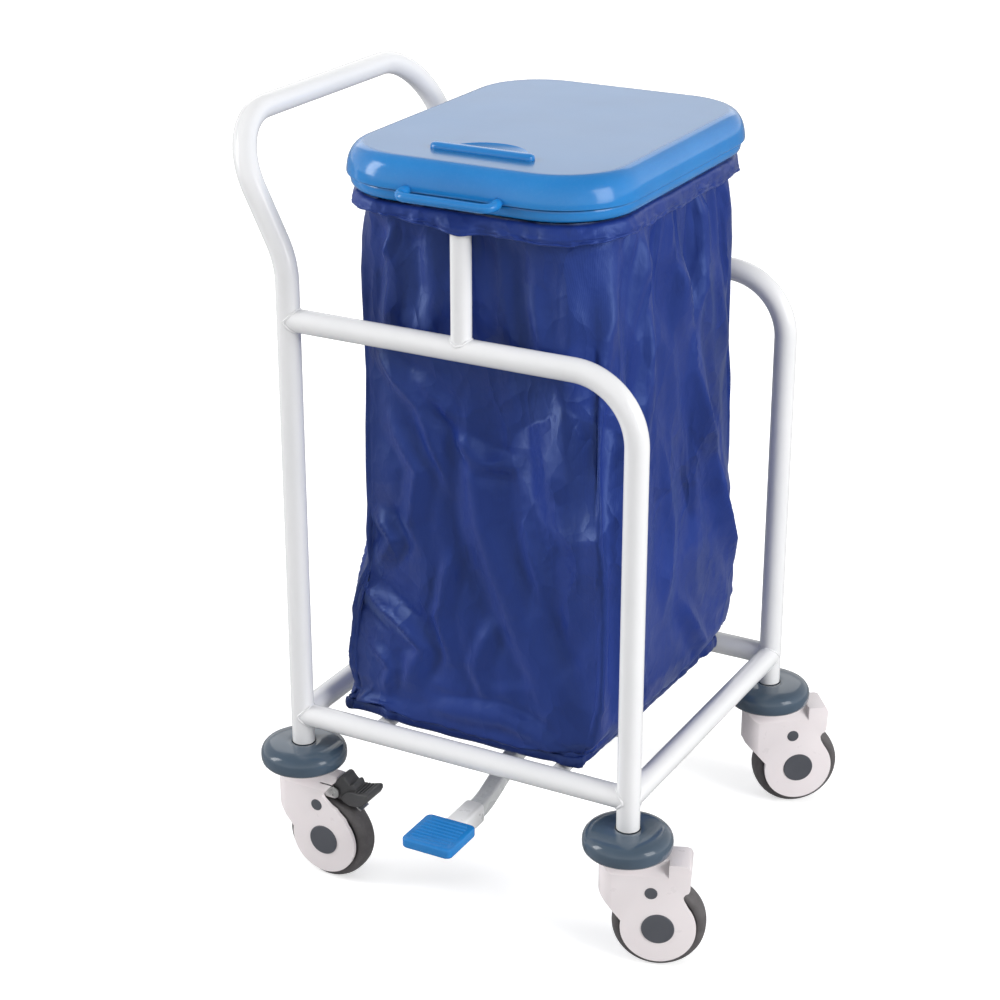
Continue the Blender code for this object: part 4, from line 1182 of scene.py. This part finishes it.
def build_wheel(k, place):
    axle = place @ Matrix.Translation((TRAIL, 0, WHEEL_R)) @ Matrix.Rotation(math.pi / 2, 4, "X")
    wheel, swivel = "wheel_" + k, "swivel_" + k
    tread = [(38.2, 12.2), (41, 13.4), (44, 13.6), (46.4, 12.6), (48.2, 10.6), (49.3, 7.8), (49.85, 4.2), (50, 0)]
    tread += [(r, -h) for r, h in reversed(tread[:-1])]
    turned("tyre_band_" + k, tread, axle, 96, "tyre_rubber", wheel, ["tyre_" + k], 180, closed=True)
    core = [(5.6, 14.5), (11, 14.5), (12, 13.8), (13, 8.5), (15, 7.6), (30, 7.2), (34, 8.4), (36, 10.8), (38.2, 11.6)]
    core += [(r, -h) for r, h in reversed(core)]
    turned("wheel_disc_" + k, core, axle, 72, "dark_plastic", wheel, ["wheel_core_" + k], closed=True)
    turned("axle_bolt_" + k, [(5, -20.2), (5, 20.2)], axle, 32, "zinc_steel", swivel, ["axle_" + k])
    for sign, side in ((-1, "in"), (1, "out")):
        flip = Matrix.Identity(4) if sign > 0 else Matrix.Rotation(math.pi, 4, "X")
        place = axle @ flip @ Matrix.Translation((0, 0, 0.0200))
        turned(f"hub_cap_{k}_{side}", domed(17.5, 1.3), place, 64, "dark_plastic", swivel)


def build_bumper(k, x, y):
    place = Matrix.Translation((x, y, 0))
    disc = [(13.2, 157.4), (14.2, 158.0), (20, 158.0), (30, 157.6), (36, 156.9), (40.5, 155.6), (44, 153.5)]
    disc += [(46.4, 150.6), (47.7, 147.2), (48.0, 143.4), (47.8, 139.4), (46.9, 136.2), (45.0, 133.9)]
    disc += [(42.2, 132.8), (38, 132.5), (13.2, 132.5)]
    turned("bumper_disc_" + k, disc, place, 96, "slate_plastic", "frame", ["bumper_" + k], 60, closed=True)
    cup = [(0.01, 132.4), (29, 132.4), (30.2, 132.0), (30.4, 130.6), (29.6, 129.8), (27.6, 129.4), (27.0, 128.6)]
    cup += [(26, 127.9), (0.01, 127.8)]
    turned("swivel_cup_" + k, cup, place, 72, "ivory_plastic", "frame", ["kingpin_" + k])


def build_brake(k, place):
    look, body = "brake_plastic", "brake_" + k
    hump = [(45, 103), (43.5, 112), (44.5, 119), (49, 124.5), (52, 129.5), (55.5, 131), (58.5, 129.8), (61, 126.6)]
    hump += [(64.5, 122.8), (66.2, 122.2), (68, 124.2), (70.2, 124.2), (71.8, 121.8), (73, 118), (66, 106), (54, 101)]
    toe = prism("brake_hump_" + k, in_metres(hump), -0.0105, 0.0105)
    soften(toe, 0.0016, place=place)
    finish_piece(toe, look, body, ["brake_pedal_" + k], angle=45)
    tail = [(52, 104), (57, 99.5), (66, 98.2), (76, 99.6), (84, 103.6), (90, 109.2), (92.4, 114.4), (92.2, 118.6)]
    tail += [(89.6, 119.6), (84, 118.2), (78, 116.6), (72, 116.8), (66, 116), (60, 112)]
    tread = prism("brake_tread_" + k, in_metres(tail), -0.0140, 0.0140)
    for vertex in tread.data.vertices:
        flare = 1 + 0.22 * max(0.0, (vertex.co.x - 0.070) / 0.022)
        vertex.co.y *= min(flare, 1.25) * (0.83 if vertex.co.x < 0.064 else 1.0)
    soften(tread, 0.0018, place=place)
    finish_piece(tread, look, body, angle=45)
    for n in range(4):
        t = 0.0735 + n * 0.0042
        z = 0.1170 + n * 0.0006
        path = straight((t, -0.0125, z), (t, 0.0125, z), 0.005)
        rib = sweep(f"brake_rib_{k}_{n}", path, 0.0009, 12)
        rib.data.transform(place)
        finish_piece(rib, look, body)
    build_brake_steel(k, place)


def build_brake_steel(k, place):
    outline = [(29.4, 117), (29.4, 103.4), (33, 103.2), (44, 103.2)]
    outline += arc((46, 110), 6.8, -80, 80, 10) + [(36, 118.2)]
    bracket = prism("brake_yoke_" + k, in_metres(outline), -0.0143, 0.0143)
    boolean(bracket, box_mesh("throat", (0.0308, -0.0123, 0.09), (0.07, 0.0123, 0.13)))
    soften(bracket, 0.0004, 2, place=place)
    finish_piece(bracket, "zinc_steel", "swivel_" + k, ["brake_bracket_" + k])
    pin_place = place @ Matrix.Translation((0.046, 0, 0.110)) @ Matrix.Rotation(math.pi / 2, 4, "X")
    rivet = [(1.6, -15.2), (2.6, -14.3), (2.6, 14.3), (1.6, 15.2)]
    turned("brake_rivet_" + k, rivet, pin_place, 28, "zinc_steel", "swivel_" + k)
    shoe = [(56, 100.4), (57, 102.0), (70, 98.8), (78.6, 93.2), (77.6, 91.9), (69, 97.0)]
    plate = prism("brake_shoe_" + k, in_metres(shoe), -0.0085, 0.0085)
    soften(plate, 0.0004, 2, place=place)
    finish_piece(plate, "zinc_steel", "brake_" + k)


def build_casters():
    for k, (x, y, heading, braked) in CASTERS.items():
        place = caster_place(x, y, heading)
        build_bumper(k, x, y)
        build_hood(k, braked, place)
        build_wheel(k, place)
        if braked:
            build_brake(k, place)


# ---------------------------------------------------------------- stage

CAMERA_PLACE = (1.0922, -2.1178, 1.4103)
CAMERA_TURN = (math.radians(90 - 22.63), 0, math.radians(28.44))
CAMERA_LENS = 84.4


def add_light(kind, name, heading, power, **settings):
    data = bpy.data.lights.new(name, kind)
    data.energy = power
    for key, value in settings.items():
        setattr(data, key, value)
    lamp = bpy.data.objects.new(name, data)
    lamp.rotation_euler = Vector(heading).to_track_quat("-Z", "Y").to_euler()
    bpy.context.scene.collection.objects.link(lamp)
    return lamp


def sun_light(name, heading, power, width):
    lamp = add_light("SUN", name, heading, power, angle=math.radians(width))
    lamp.visible_glossy = False  # so that it leaves no round glints


def area_light(name, place, target, size, power):
    heading = Vector(target) - Vector(place)
    lamp = add_light("AREA", name, heading, power, shape="RECTANGLE", size=size[0], size_y=size[1])
    lamp.location = place


def build_world():
    """White where the camera sees it, and a dimmer room, brighter low down, for light and reflections."""
    seen, ambient, level, overhead = 1.05, 0.42, 0.95, 0.30
    world = bpy.data.worlds.new("studio")
    world.use_nodes = True
    nodes = world.node_tree.nodes
    back, coords, split, ramp, ray, soft, mix = [nodes["Background"]] + [
        nodes.new("ShaderNode" + kind) for kind in ("TexCoord", "SeparateXYZ", "MapRange", "LightPath", "Mix", "Mix")
    ]
    for name, value in (("From Min", 0.0), ("From Max", 0.9), ("To Min", level), ("To Max", overhead)):
        ramp.inputs[name].default_value = value
    soft.inputs["B"].default_value = ambient
    mix.inputs["B"].default_value = seen
    back.inputs["Color"].default_value = (1.0, 1.0, 1.0, 1.0)
    for source, output, target, socket in (
        (coords, "Generated", split, 0),
        (split, "Z", ramp, "Value"),
        (ray, "Is Camera Ray", mix, "Factor"),
        (ray, "Is Diffuse Ray", soft, "Factor"),
        (ramp, 0, soft, "A"),
        (soft, "Result", mix, "A"),
        (mix, "Result", back, "Strength"),
    ):
        world.node_tree.links.new(source.outputs[output], target.inputs[socket])
    bpy.context.scene.world = world


def build_stage():
    wide = 60
    corners = [(-wide, -wide, 0), (wide, -wide, 0), (wide, wide, 0), (-wide, wide, 0)]
    floor = new_object("studio_floor", corners, [(0, 1, 2, 3)])
    floor.data.materials.append(floor_white())
    build_world()
    sun_light("key", (0.90, 0.34, -0.42), 2.0, 32)
    sun_light("side", (-0.90, 0.12, -0.40), 2.3, 30)
    area_light("fill", (2.8, -0.4, 1.5), (0, 0, 0.5), (1.2, 1.6), 17)
    area_light("rim", (-2.3, -1.4, 1.7), (0, 0, 0.5), (0.8, 1.8), 20)
    area_light("sheet", (-1.43, 2.64, 2.09), (0, 0, 0.83), (3.2, 1.5), 11.4)
    data = bpy.data.cameras.new("camera")
    data.lens = CAMERA_LENS
    data.sensor_width = 36
    camera = bpy.data.objects.new("camera", data)
    bpy.context.scene.collection.objects.link(camera)
    camera.location = Vector(CAMERA_PLACE) + LEG_CENTRE
    camera.rotation_euler = CAMERA_TURN
    bpy.context.scene.camera = camera
    bpy.context.scene.view_settings.view_transform = "Standard"


build_frame()
build_lid()
build_bag()
build_pedal()
build_lift()
build_casters()
build_stage()
